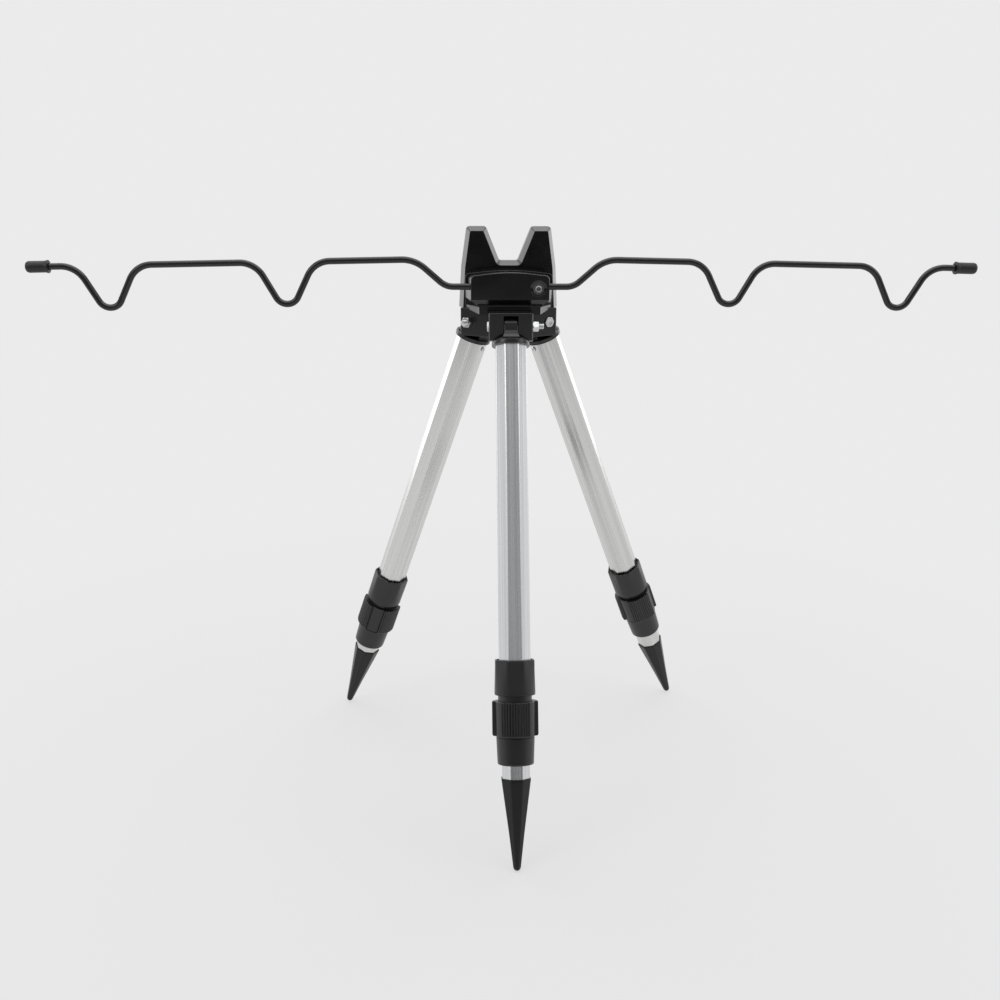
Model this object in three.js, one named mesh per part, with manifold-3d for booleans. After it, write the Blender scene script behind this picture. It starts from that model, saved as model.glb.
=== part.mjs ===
// Folding rod-rest tripod: three telescopic legs hinged in a moulded hub, a notched rest on top of it
// and two bent wire arms, each with two V rests, pushed into the clamp housing in front of the rest.
// Millimetres, +Z up. The front leg points to -Y and the arms lie along X.
import * as THREE from 'three'
import { mergeVertices } from 'three/addons/utils/BufferGeometryUtils.js'
import Module from 'manifold-3d'

const wasm = await Module()
wasm.setup()

// Fits
const gap = 0.3                  // between faces that touch
const slideGap = 0.2             // round the guide bush in the outer tube
const overrun = 5                // how far a cutting tool runs past the face it cuts
const weldDistance = 1e-4

// Stance
const hingeHeight = 403.3        // hinge bolts above the ground
const hingeRadius = 29           // hub axis to each hinge bolt
const legs = [
  { name: 'front', azimuth: -90, splay: 22, knobTurn: -12 },
  { name: 'right', azimuth: 30, splay: 23.5, knobTurn: 0 },
  { name: 'left', azimuth: 150, splay: 21, knobTurn: 40 },
]

// Hub
const lobeWidth = 36
const lobeReach = 37.5           // hub axis to the nose of each fork
const lobeCorner = 2
const hubDepthBelow = 11.7       // below the hinge bolts
const hubDepthAbove = 11.5       // above the hinge bolts
const headPocketDepth = 2.5      // hexagonal pocket that holds the bolt head
const slotRoom = 0.8             // past the tongue's round end

// Leg cap: a tongue in the hub's fork, a round skirt and an octagonal plug in the tube
const tongueWidth = 11.4
const tongueRadius = 8.5
const saddleFlare = 3            // foot of the tongue, on its outer side
const saddleRise = 2.4
const skirtDrop = 13.1           // hinge bolt to the top of the skirt, along the leg
const skirtHeight = 5
const skirtRadius = 15.5
const skirtRoof = 2
const skirtEdge = 1.2
const plugLength = 24
const plugWall = 2.2

// Tubes
const outerFlats = 25
const outerWall = 0.9
const innerFlats = 21.6
const innerWall = 1
const innerHeadroom = 15.5       // above the inner tube on the steepest leg

// Cap screw on the inner flat of each leg
const capScrewDrop = 22
const capScrewHead = 4.4
const capScrewHeadHeight = 0.9
const capScrewShank = 2.4
const capScrewLength = 5

// Leg lock
const collarLength = 27.8
const collarGrip = 19.3          // on the outer tube
const collarTopFlats = 31.2      // octagonal at its top, round at its lower end
const collarRimFlats = 28        // recess round the tube
const collarRimDepth = 2.5
const collarEndRadius = 16.35
const collarEdge = 0.8
const neckRadius = 13.5
const neckLength = 13
const neckShown = 5.3            // between the collar and the knob
const knobLength = 28.3
const knobRadius = 18.4
const knobCoreRadius = 16.2
const knobWings = 3
const wingRibs = 12
const wingShare = 0.675          // of the way round, under ribs
const coreShares = [0.06, 0.5, 0.94]  // places of the points between two wings
const ribDepth = 0.8
const noseLength = 20.4
const noseTopRadius = 15.25
const noseEndRadius = 14.45
const noseGroove = 1.1
const noseGrooveDepth = 0.7
const chamberRadius = 13.2
const mouthLength = 4
const coneLength = 3
const colletRadius = 12.9
const colletLength = 32
const colletTaper = 0.4
const colletTaperLength = 6
const colletSlit = 2

// Foot
const spikeLength = 71.4
const spikeFlats = 23
const spikeTipRadius = 3
const spikeRim = 1.6
const spikeCoreDepth = 10
const stemLength = 22
const stemWall = 2.4
const footReach = 8.1            // knob to the spike on the steepest leg
const bushFlange = 3
const bushStem = 12

// Hinge bolt and nut
const boltDiameter = 4.9
const boltHeadFlats = 8
const boltHeadHeight = 3.5
const nutHeight = 4.7
const boltTail = 4.4             // thread past the nut
const fastenerChamfer = 0.5

// Notched rest
const restBaseHalf = 41.8
const restWaistHalf = 40
const restWaistHeight = 33
const restTopHalf = 35.4
const restHeight = 65.9          // above its seat on the hub
const earWidth = 16.3
const notchBottomHalf = 7.7
const notchDepth = 27.9
const restFront = 4              // front face, behind the hub axis
const restDepth = 18
const restDraft = 3.4            // its front face is this much smaller all round
const restDraftDepth = 9
const restBackEdge = 1
const restWall = 3               // its front
const restRim = 5                // its sides, behind the draft
const earCorner = 2.6
const faceCorner = 1.2           // of the front face
const restWaistCorner = 12
const coverThickness = 4.7
const coverLip = 2.2
const coverLipWall = 1.5

// Clamp housing
const housingDepth = 24.7
const housingFrontHalf = 32.3
const housingBackHalf = 36.8
const housingChinHalf = 27
const housingBottom = 3.4        // above the rest's seat
const housingFaceBottom = 8.4
const housingFaceTop = 28.3
const housingArch = 2.5
const housingCorner = 4
const housingChamferDepth = 4.5
const housingWall = 2.4
const chinSetback = 8            // behind the housing's front face
const chinDrop = 4.3             // its front edge, below the top of the hub
const housingPostClearance = 1.5 // behind the arm
const housingPostWeb = 2.4
const cavityHeight = 14.6

// Arm clamp inside the housing
const plateThickness = 0.8
const plateEndRoom = 3.4         // at each end, inside the housing
const plateHeight = 12
const cradleHalf = 23.6
const cradlePocketWall = 3
const cradlePocketDepth = 11
const clampScrewInset = 9        // from the housing's side
const clampScrewDrop = 1.2       // below the arm's axis
const clampScrewDiameter = 5.8
const clampSocketFlats = 3
const clampSocketDepth = 1.5
const clampScrewProud = 1.2     // out of the recess round it
const clampRecessDiameter = 14.6
const clampRecessDepth = 0.6
const insertWall = 1.4

// Bent wire arms
const wireDiameter = 5
const armHeight = 18.8           // arm axis above the rest's seat
const shankStart = 4             // inner end of each shank, from the middle
const shankEnd = 46.5            // where the arm starts to rise
const riseAngle = 41
const riseLowRadius = 17
const riseHighRadius = 28
const riseHeight = 21.6
const armDroop = 1.2
const veeAngle = 57.5
const veeShoulderRadius = 17
const veeBottomRadius = 10
const veeDepth = 33.7
const innerVeeOffset = 183.4     // middle of the stand to the bottom of the inner V
const veeSpacing = 143.3
const armEndReach = 63.3         // bottom of the outer V to the end of the cap
const capDiameter = 9.5
const capLength = 18.2
const capFlare = 0.5
const capFlareLength = 2.2
const capEndThickness = 2.5
const capRound = 3

// Screws of the head
const screwDiameter = 3.8
const screwHeadDiameter = 7
const screwHeadHeight = 2.7
const coverScrewSink = 3
const earScrewOffset = 25.3
const earScrewHeight = 52.2
const earScrewLength = 11
const longScrewOffset = 28.5
const longScrewLength = 26
const postWidth = 8
const postHeight = 16
const hubScrewSink = 6
const hubScrewLength = 24
const restHubScrewOffset = 9
const restHubScrewBack = 11
const housingHubScrewFront = 9
const crossRecessWidth = 1.1
const crossRecessLength = 4
const crossRecessDepth = 1.2

// Fineness of round forms
const roundSides = 28
const collarSides = 32
const boreSides = 16             // inside the collars and knobs
const smallSides = 12
const wireSides = 8
const capSides = 16
const archSteps = 8
const tipSteps = 3
const bendStep = 18              // degrees of bend between two rings of the wire
const cornerSteps = 3

// Heights and places that follow from the sizes above
const flatsToRadius = flats => flats / 2 / Math.cos(Math.PI / 8)
const holeGap = gap * 2
const skirtEnd = skirtDrop + skirtHeight
const outerTopDrop = skirtDrop + skirtRoof + gap
const outerBore = outerFlats - outerWall * 2
const innerBore = innerFlats - innerWall * 2
const stemFlats = innerBore - holeGap
const passageFlats = innerFlats + holeGap
const passageRadius = flatsToRadius(passageFlats)
const knobEnd = Math.min(...legs.map(spikeDrop)) - footReach
const ribbedEnd = knobEnd - noseLength
const knobDrop = ribbedEnd - knobLength
const collarEnd = knobDrop - neckShown
const collarDrop = collarEnd - collarLength
const neckEnd = collarEnd + neckLength
const outerEndDrop = collarDrop + collarGrip
const innerLength = knobEnd - skirtDrop - skirtRoof - plugLength - innerHeadroom
const innerTop = gap + innerLength
const boltHole = boltDiameter + holeGap
const boltHeadSeat = -lobeWidth / 2 + headPocketDepth - gap
const nutSeat = lobeWidth / 2 + gap
const boltEnd = nutSeat + nutHeight + boltTail
const slotWidth = tongueWidth + gap * 2
const slotStart = tongueRadius + slotRoom
const slotTop = tongueRadius + slotRoom
const screwHole = screwDiameter + holeGap
const screwHeadHole = screwHeadDiameter + holeGap
const hubScrewSeat = -hubDepthBelow + hubScrewSink - gap
const hubScrewTop = hubScrewSeat + hubScrewLength
const seat = hubDepthAbove + gap // underside of the rest and the housing
const armAxisZ = seat + armHeight
const cradleHeight = cavityHeight - holeGap
const restBack = restFront + restDepth
const coverFront = restBack - coverThickness
const housingBack = restFront - gap
const housingFront = housingBack - housingDepth
const plateFront = housingFront + housingWall + gap
const plateHalf = housingFrontHalf - housingWall - plateEndRoom
const clampScrewOffset = housingFrontHalf - clampScrewInset
const armAxisY = plateFront + plateThickness + gap + wireDiameter / 2
const clampScrewZ = armAxisZ - clampScrewDrop
const clampScrewFront = housingFront + clampRecessDepth - clampScrewProud
const clampScrewLength = plateFront - gap - clampScrewFront
const insertDiameter = clampScrewDiameter + holeGap + insertWall * 2

const materials = {
  blackPlastic: { color: 0x141416, roughness: 0.38, metalness: 0 },
  rubber: { color: 0x1a1a1b, roughness: 0.75, metalness: 0 },
  aluminium: { color: 0xb9bec2, roughness: 0.32, metalness: 1 },
  blackSteel: { color: 0x101012, roughness: 0.3, metalness: 0.4 },
  zincSteel: { color: 0xc3c5c4, roughness: 0.3, metalness: 1 },
  brass: { color: 0xb08d4f, roughness: 0.35, metalness: 1 },
}

function piece(name, material, geometry) {
  const mesh = new THREE.Mesh(geometry, new THREE.MeshStandardMaterial(materials[material]))
  mesh.name = name
  mesh.material.flatShading = true
  return mesh
}

// Solids: three.js geometry in, three.js geometry out
function solid(geometry) {
  const bare = new THREE.BufferGeometry()
  bare.setAttribute('position', geometry.attributes.position)
  bare.setIndex(geometry.index)
  const welded = mergeVertices(bare, weldDistance)
  const corners = []
  for (let i = 0; i < welded.index.count; i += 3) {
    const [a, b, c] = welded.index.array.slice(i, i + 3)
    if (a !== b && b !== c && c !== a) corners.push(a, b, c)
  }
  const vertProperties = Float32Array.from(welded.attributes.position.array)
  return new wasm.Manifold(new wasm.Mesh({ numProp: 3, vertProperties, triVerts: Uint32Array.from(corners) }))
}

function fromSolid(body) {
  const { vertProperties, triVerts } = body.getMesh()
  const geometry = new THREE.BufferGeometry()
  geometry.setAttribute('position', new THREE.BufferAttribute(vertProperties, 3))
  geometry.setIndex(new THREE.BufferAttribute(triVerts, 1))
  return geometry
}

const join = (...parts) => fromSolid(parts.map(solid).reduce((sum, part) => sum.add(part)))
const cut = (base, ...tools) =>
  fromSolid(tools.map(solid).reduce((rest, tool) => rest.subtract(tool), solid(base)))
const common = (...parts) => fromSolid(parts.map(solid).reduce((sum, part) => sum.intersect(part)))

// Basic forms
function box(x, y, z) {
  const geometry = new THREE.BoxGeometry(x[1] - x[0], y[1] - y[0], z[1] - z[0])
  return geometry.translate((x[0] + x[1]) / 2, (y[0] + y[1]) / 2, (z[0] + z[1]) / 2)
}

function rod(radius, length, sides = smallSides) {
  // A round bar that starts at the origin and runs along +Z.
  return new THREE.CylinderGeometry(radius, radius, length, sides)
    .rotateX(Math.PI / 2)
    .rotateZ(Math.PI / sides)
    .translate(0, 0, length / 2)
}

const alongX = geometry => geometry.rotateY(Math.PI / 2)
const alongY = geometry => geometry.rotateX(-Math.PI / 2)

function turned(profile, sides = roundSides) {
  // Revolved about Z. Profile points are [radius, height], up the outside, ends on the axis or shared.
  const points = profile.map(([radius, height]) => new THREE.Vector2(radius, height))
  return new THREE.LatheGeometry(points, sides).rotateX(Math.PI / 2).rotateZ(Math.PI / sides)
}

function octagonal(profile) {
  // Like turned(), but eight-sided with flats to the front and sides; widths are across flats.
  return turned(profile.map(([flats, height]) => [flatsToRadius(flats), height]), 8)
}

const octagonBar = (flats, low, high) => octagonal([[0, low], [flats, low], [flats, high], [0, high]])
const octagonPipe = (flats, bore, low, high) => octagonal([
  [bore, low], [flats, low], [flats, high], [bore, high], [bore, low]])

function hexBar(flats, height) {
  const radius = flats / Math.sqrt(3)
  return new THREE.CylinderGeometry(radius, radius, height, 6).rotateX(Math.PI / 2).translate(0, 0, height / 2)
}

function rounded(points, corner = 0) {
  // The polygon [x, y, own corner radius], counterclockwise, with its corners rounded.
  return points.flatMap(([x, y, own], i) => {
    const before = points[(i + points.length - 1) % points.length]
    const after = points[(i + 1) % points.length]
    const here = new THREE.Vector2(x, y)
    const radius = own ?? corner
    if (radius === 0) return [here]
    const back = new THREE.Vector2(before[0], before[1]).sub(here).normalize()
    const on = new THREE.Vector2(after[0], after[1]).sub(here).normalize()
    const half = Math.acos(back.dot(on)) / 2
    const centre = here.clone().addScaledVector(back.clone().add(on).normalize(), radius / Math.sin(half))
    const start = here.clone().addScaledVector(back, radius / Math.tan(half)).sub(centre)
    const sweep = (Math.PI - half * 2) * Math.sign(on.cross(back))
    return Array.from({ length: cornerSteps + 1 }, (_, step) =>
      start.clone().rotateAround(new THREE.Vector2(), sweep * step / cornerSteps).add(centre))
  })
}

function inset(points, distance) {
  // The same polygon with every side moved inwards.
  return points.map(([x, y, own], i) => {
    const before = points[(i + points.length - 1) % points.length]
    const after = points[(i + 1) % points.length]
    const arrive = new THREE.Vector2(x - before[0], y - before[1]).normalize()
    const leave = new THREE.Vector2(after[0] - x, after[1] - y).normalize()
    const inward = new THREE.Vector2(-arrive.y - leave.y, arrive.x + leave.x).normalize()
    const reach = distance / inward.dot(new THREE.Vector2(-arrive.y, arrive.x))
    return [x + inward.x * reach, y + inward.y * reach, own]
  })
}

function slab(points, low, high) {
  // The outline in XY, from height low to high.
  const shape = new THREE.Shape(points)
  return new THREE.ExtrudeGeometry(shape, { depth: high - low, bevelEnabled: false }).translate(0, 0, low)
}

function loft(sections) {
  // Joins outlines of equal point counts, lowest first, and closes both ends.
  const count = sections[0].points.length
  const top = (sections.length - 1) * count
  const positions = sections.flatMap(({ points, height }) => points.flatMap(({ x, y }) => [x, y, height]))
  const index = THREE.ShapeUtils.triangulateShape(sections[0].points, []).flatMap(([a, b, c]) => [c, b, a])
  for (const face of THREE.ShapeUtils.triangulateShape(sections.at(-1).points, [])) {
    index.push(...face.map(corner => corner + top))
  }
  for (let ring = 0; ring < top; ring += count) {
    for (let i = 0; i < count; i++) {
      const a = ring + i
      const b = ring + (i + 1) % count
      index.push(a, b, b + count, a, b + count, a + count)
    }
  }
  const geometry = new THREE.BufferGeometry()
  geometry.setAttribute('position', new THREE.Float32BufferAttribute(positions, 3))
  return geometry.setIndex(index)
}

// Drawn in XY and stood up: the drawing's Y becomes Z, and heights run towards -Y
const standUp = geometry => geometry.rotateX(Math.PI / 2)
const upright = (points, front, back) => standUp(slab(points, -back, -front))

// Drawn in YZ, from left to right along X
const sideways = (points, left, right) => standUp(slab(points, left, right)).rotateZ(Math.PI / 2)

function crossRecess(depth) {
  // Cutter for a cross recess in a head whose outer face is at the origin, facing +Z.
  const thin = crossRecessWidth / 2
  const long = crossRecessLength / 2
  return join(
    box([-long, long], [-thin, thin], [-depth, overrun]),
    box([-thin, thin], [-long, long], [-depth, overrun]))
}

function screw(length) {
  // Pan head with its underside at the origin, shank down along -Z.
  const body = turned([
    [0, -length],
    [screwDiameter / 2, -length],
    [screwDiameter / 2, 0],
    [screwHeadDiameter / 2, 0],
    [screwHeadDiameter / 2, screwHeadHeight - fastenerChamfer * 2],
    [screwHeadDiameter / 2 - fastenerChamfer * 2, screwHeadHeight],
    [0, screwHeadHeight],
  ], smallSides)
  return cut(body, crossRecess(crossRecessDepth).translate(0, 0, screwHeadHeight))
}

// At each hinge bolt: X along the bolt, -Z down the leg, -Y outwards
function hingeFrame(leg, splay = leg.splay) {
  const swing = new THREE.Group()
  swing.position.set(0, -hingeRadius, 0)
  swing.rotation.x = -THREE.MathUtils.degToRad(splay)
  const turn = new THREE.Group()
  turn.rotation.z = THREE.MathUtils.degToRad(leg.azimuth + 90)
  turn.add(swing)
  turn.updateMatrixWorld(true)
  return { turn, swing }
}

// Hub with three forks
const hubScrews = [
  { name: 'rest_hub_screw_left', x: -restHubScrewOffset, y: restHubScrewBack },
  { name: 'rest_hub_screw_right', x: restHubScrewOffset, y: restHubScrewBack },
  { name: 'housing_hub_screw', x: 0, y: -housingHubScrewFront },
]

function lobe(leg, room = 0) {
  const half = lobeWidth / 2 + room
  const nose = -lobeReach - room
  const corners = [[-half, nose, lobeCorner], [half, nose, lobeCorner], [half, 0], [-half, 0]]
  const turn = THREE.MathUtils.degToRad(leg.azimuth + 90)
  return slab(rounded(corners), -hubDepthBelow, hubDepthAbove + room).rotateZ(turn)
}

function forkCuts(leg) {
  const level = hingeFrame(leg, 0).swing.matrixWorld
  const splayed = hingeFrame(leg).swing.matrixWorld
  const side = lobeWidth / 2 + overrun
  const slot = box([-slotWidth / 2, slotWidth / 2], [-side, slotStart], [-hubDepthBelow - overrun, slotTop])
  const hole = alongX(rod(boltHole / 2, side * 2)).translate(-side, 0, 0)
  const pocket = alongX(hexBar(boltHeadFlats + holeGap, headPocketDepth + overrun)).translate(-side, 0, 0)
  const stop = box([-side, side], [-side, side], [-skirtDrop - side, -skirtDrop + gap])
  return [
    ...[slot, hole, pocket].map(tool => tool.applyMatrix4(level)),
    stop.applyMatrix4(splayed),
  ]
}

function hub() {
  const screwCuts = hubScrews.flatMap(({ x, y }) => [
    rod(screwHole / 2, hubDepthAbove + hubDepthBelow + overrun * 2).translate(x, y, -hubDepthBelow - overrun),
    rod(screwHeadHole / 2, hubScrewSink + overrun).translate(x, y, -hubDepthBelow - overrun),
  ])
  return cut(join(...legs.map(leg => lobe(leg))), ...legs.flatMap(forkCuts), ...screwCuts)
}

// Leg cap
const capScrewBore = () =>
  alongY(rod((capScrewShank + holeGap) / 2, outerFlats)).translate(0, 0, -capScrewDrop)

function legCap() {
  const half = tongueWidth / 2
  const foot = -skirtDrop - skirtRoof / 2
  const tongue = sideways(rounded([
    [-tongueRadius, foot], [tongueRadius, foot],
    [tongueRadius, tongueRadius, tongueRadius], [-tongueRadius, tongueRadius, tongueRadius],
  ]), -half, half)
  const saddle = sideways(rounded([
    [-tongueRadius - saddleFlare, foot], [tongueRadius, foot],
    [tongueRadius, -skirtDrop + saddleRise], [-tongueRadius, -skirtDrop + saddleRise],
  ]), -half, half)
  const skirt = turned([
    [0, -skirtEnd],
    [skirtRadius, -skirtEnd],
    [skirtRadius, -skirtDrop - skirtEdge],
    [skirtRadius - skirtEdge, -skirtDrop],
    [0, -skirtDrop],
  ])
  const socket = octagonBar(outerFlats + holeGap, -skirtEnd - overrun, -skirtDrop - skirtRoof)
  const plugFlats = outerBore - holeGap
  const plugTop = -skirtDrop - skirtRoof
  const plug = octagonPipe(plugFlats, plugFlats - plugWall * 2, plugTop - plugLength, plugTop + skirtRoof / 2)
  const boltBore = alongX(rod(boltHole / 2, tongueWidth + overrun * 2)).translate(-half - overrun, 0, 0)
  const head = cut(join(tongue, saddle, skirt), socket)
  return cut(join(head, plug), boltBore, capScrewBore())
}

function outerTube() {
  return cut(octagonPipe(outerFlats, outerBore, -outerEndDrop, -outerTopDrop), capScrewBore())
}

function capScrew() {
  const body = turned([
    [0, -capScrewLength],
    [capScrewShank / 2, -capScrewLength],
    [capScrewShank / 2, 0],
    [capScrewHead / 2, 0],
    [capScrewHead / 2 - capScrewHeadHeight, capScrewHeadHeight],
    [0, capScrewHeadHeight],
  ], smallSides)
  return alongY(body).translate(0, outerFlats / 2 + gap, -capScrewDrop)
}

// Leg lock
function collarOutline(roundness, edge) {
  // A blunt octagon at roundness 0, a circle at 1, drawn in by the edge.
  const eighth = Math.PI / 4
  return Array.from({ length: collarSides }, (_, side) => {
    const angle = Math.PI * 2 * (side + 0.5) / collarSides
    const fromFlat = (angle + eighth / 2) % eighth - eighth / 2
    const radius = THREE.MathUtils.lerp(collarTopFlats / 2 / Math.cos(fromFlat), collarEndRadius, roundness)
    return new THREE.Vector2(radius - edge, 0).rotateAround(new THREE.Vector2(), angle)
  })
}

function lockCollar() {
  const sleeve = loft([
    { points: collarOutline(1, collarEdge), height: -collarEnd },
    { points: collarOutline(1, 0), height: -collarEnd + collarEdge },
    { points: collarOutline(0, 0), height: -collarDrop - collarEdge },
    { points: collarOutline(0, collarEdge), height: -collarDrop },
  ])
  const neck = rod(neckRadius, neckLength + collarEdge, roundSides).translate(0, 0, -neckEnd)
  const rim = octagonBar(collarRimFlats, -collarDrop - collarRimDepth, -collarDrop + overrun)
  const tubeSocket = octagonBar(outerFlats + holeGap, -outerEndDrop - gap, -collarDrop + overrun)
  const passage = octagonBar(passageFlats, -neckEnd - overrun, -collarDrop)
  return cut(join(sleeve, neck), tubeSocket, passage, rim)
}

function collet() {
  const top = -neckEnd - gap
  const end = top - colletLength
  const body = turned([
    [0, end],
    [colletRadius - colletTaper, end],
    [colletRadius, end + colletTaperLength],
    [colletRadius, top],
    [0, top],
  ], boreSides)
  const bore = octagonBar(passageFlats, end - overrun, top + overrun)
  const slit = box([-colletSlit / 2, colletSlit / 2], [0, colletRadius + overrun], [end - overrun, top + overrun])
  return cut(body, bore, slit)
}

function ribbedOutline() {
  // Wings of V ribs, each starting and ending on a crest, with the smooth core between them.
  const wing = Math.PI * 2 / knobWings
  const halfRib = wing * wingShare / (wingRibs * 2 - 2)
  const ribs = Array.from({ length: wingRibs * 2 - 1 }, (_, step) =>
    [halfRib * step, step % 2 ? knobRadius - ribDepth : knobRadius])
  const core = coreShares.map(share => [wing * THREE.MathUtils.lerp(wingShare, 1, share), knobCoreRadius])
  return Array.from({ length: knobWings }, (_, turn) => [...ribs, ...core].map(([angle, radius]) =>
    new THREE.Vector2(radius, 0).rotateAround(new THREE.Vector2(), angle + wing * turn))).flat()
}

function lockKnob() {
  const grip = slab(ribbedOutline(), -ribbedEnd, -knobDrop)
  const nose = turned([
    [0, -knobEnd],
    [noseEndRadius - collarEdge, -knobEnd],
    [noseEndRadius, -knobEnd + collarEdge],
    [noseTopRadius, -ribbedEnd - noseGroove],
    [noseTopRadius - noseGrooveDepth, -ribbedEnd - noseGroove],
    [noseTopRadius - noseGrooveDepth, -ribbedEnd + noseGroove],
    [0, -ribbedEnd + noseGroove],
  ])
  const bore = turned([
    [0, -knobEnd - overrun],
    [passageRadius, -knobEnd - overrun],
    [passageRadius, -knobEnd + mouthLength],
    [chamberRadius, -knobEnd + mouthLength + coneLength],
    [chamberRadius, -neckEnd - gap],
    [neckRadius + gap, -neckEnd - gap],
    [neckRadius + gap, -knobDrop + overrun],
    [0, -knobDrop + overrun],
  ], boreSides)
  return cut(join(grip, nose), bore)
}

// Foot: heights are from the top of the spike
function spikeDrop(leg) {
  // Hinge bolt to the top of the spike, along the leg, with the tip on the ground.
  const splay = THREE.MathUtils.degToRad(leg.splay)
  return (hingeHeight - spikeTipRadius) / Math.cos(splay) + spikeTipRadius - spikeLength
}

function innerTube() {
  return octagonPipe(innerFlats, innerBore, gap, innerTop)
}

function guideBush() {
  const flange = octagonBar(outerBore - slideGap * 2, innerTop + gap, innerTop + gap + bushFlange)
  const stem = octagonBar(stemFlats, innerTop - bushStem, innerTop + gap + bushFlange / 2)
  const bore = octagonBar(stemFlats - stemWall * 2, innerTop - bushStem - overrun, innerTop + bushFlange + overrun)
  return cut(join(flange, stem), bore)
}

function footSpike() {
  const tip = Array.from({ length: tipSteps + 1 }, (_, step) => {
    const angle = Math.PI / 2 * step / tipSteps
    return [spikeTipRadius * 2 * Math.sin(angle), -spikeLength + spikeTipRadius * (1 - Math.cos(angle))]
  })
  return octagonal([
    ...tip,
    [spikeFlats, -spikeRim],
    [spikeFlats, 0],
    [stemFlats, 0],
    [stemFlats, stemLength],
    [stemFlats - stemWall * 2, stemLength],
    [stemFlats - stemWall * 2, -spikeCoreDepth],
    [0, -spikeCoreDepth - stemWall],
  ])
}

// Hinge bolt and nut, along X through the hinge
function chamferedHex(flats, height) {
  const corner = flats / Math.sqrt(3)
  const dome = turned([
    [0, 0], [corner, 0], [corner, height - fastenerChamfer], [flats / 2, height], [0, height],
  ], smallSides * 2)
  return common(hexBar(flats, height), dome)
}

function hingeBolt() {
  const shank = turned([
    [0, boltHeadSeat - boltHeadHeight / 2],
    [boltDiameter / 2, boltHeadSeat - boltHeadHeight / 2],
    [boltDiameter / 2, boltEnd - fastenerChamfer],
    [boltDiameter / 2 - fastenerChamfer, boltEnd],
    [0, boltEnd],
  ], smallSides)
  const head = chamferedHex(boltHeadFlats, boltHeadHeight).rotateX(Math.PI).translate(0, 0, boltHeadSeat)
  return alongX(join(shank, head))
}

function hingeNut() {
  const bore = rod(boltHole / 2, nutHeight + overrun * 2).translate(0, 0, -overrun)
  return alongX(cut(chamferedHex(boltHeadFlats, nutHeight), bore)).translate(nutSeat, 0, 0)
}

// Notched rest: body and rear cover
const restPoints = (() => {
  const right = [
    [restBaseHalf, 0],
    [restWaistHalf, restWaistHeight, restWaistCorner],
    [restTopHalf, restHeight],
    [restTopHalf - earWidth, restHeight],
    [notchBottomHalf, restHeight - notchDepth],
  ]
  const left = right.map(([x, z, own]) => [-x, z, own]).reverse()
  return [...right, ...left].map(([x, z, own]) => [x, z + seat, own])
})()

const coverScrews = [-1, 1].flatMap(side => {
  const hand = side < 0 ? 'left' : 'right'
  return [
    { name: `ear_screw_${hand}`, x: side * earScrewOffset, z: seat + earScrewHeight, length: earScrewLength },
    { name: `housing_screw_${hand}`, x: side * longScrewOffset, z: armAxisZ, length: longScrewLength },
  ]
})

function boreY(x, z, front, back, diameter = screwHole) {
  return alongY(rod(diameter / 2, back - front)).translate(x, front, z)
}

function restBlank() {
  const edge = rounded(restPoints, earCorner)
  const face = rounded(inset(restPoints, restDraft), faceCorner)
  const back = rounded(inset(restPoints, restBackEdge), earCorner)
  return standUp(loft([
    { points: back, height: -restBack },
    { points: edge, height: -restBack + restBackEdge },
    { points: edge, height: -restFront - restDraftDepth },
    { points: face, height: -restFront },
  ]))
}

const restInside = (distance, front, back) => upright(rounded(inset(restPoints, distance)), front, back)

function acrossRest(front, back) {
  // A block over the whole outline, for parting the rest.
  const side = restBaseHalf + overrun
  return box([-side, side], [front, back], [seat - overrun, seat + restHeight + overrun])
}

function restBody() {
  const cavityFront = restFront + restWall
  const shell = cut(restBlank(), restInside(restRim, cavityFront, restBack + overrun),
    acrossRest(coverFront - gap, restBack + overrun))
  const bosses = coverScrews.map(({ x, z }) =>
    boreY(x, z, cavityFront - restWall / 2, coverFront - gap, postWidth))
  const posts = hubScrews.slice(0, 2).map(({ x, y }) => box([x - postWidth / 2, x + postWidth / 2],
    [cavityFront - restWall / 2, y + postWidth / 2], [seat, seat + postHeight]))
  const bores = coverScrews.map(({ x, z, length }) =>
    boreY(x, z, restBack - coverScrewSink - length - gap, restBack))
  const hubBores = hubScrews.slice(0, 2).map(({ x, y }) =>
    rod(screwHole / 2, hubScrewTop + gap - seat + overrun).translate(x, y, seat - overrun))
  return cut(join(shell, ...bosses, ...posts), ...bores, ...hubBores)
}

function rearCover() {
  const plate = cut(restBlank(), acrossRest(restFront - overrun, coverFront))
  const lip = cut(
    restInside(restRim + gap, coverFront - coverLip + gap, coverFront + coverLipWall),
    restInside(restRim + gap + coverLipWall, coverFront - coverLip - overrun, coverFront))
  const bores = coverScrews.flatMap(({ x, z }) => [
    boreY(x, z, coverFront - overrun, restBack + overrun),
    boreY(x, z, restBack - coverScrewSink, restBack + overrun, screwHeadHole),
  ])
  return cut(join(plate, lip), ...bores)
}

// Clamp housing: a drafted moulding with an arched top, open at the back
const draftAt = y => 1 + (y - housingFront) / housingDepth * (housingBackHalf / housingFrontHalf - 1)

function draftedBlock(points, front, back) {
  const widened = y => points.map(({ x, y: z }) => new THREE.Vector2(x * draftAt(y), z))
  return standUp(loft([
    { points: widened(back), height: -back },
    { points: widened(front), height: -front },
  ]))
}

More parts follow.
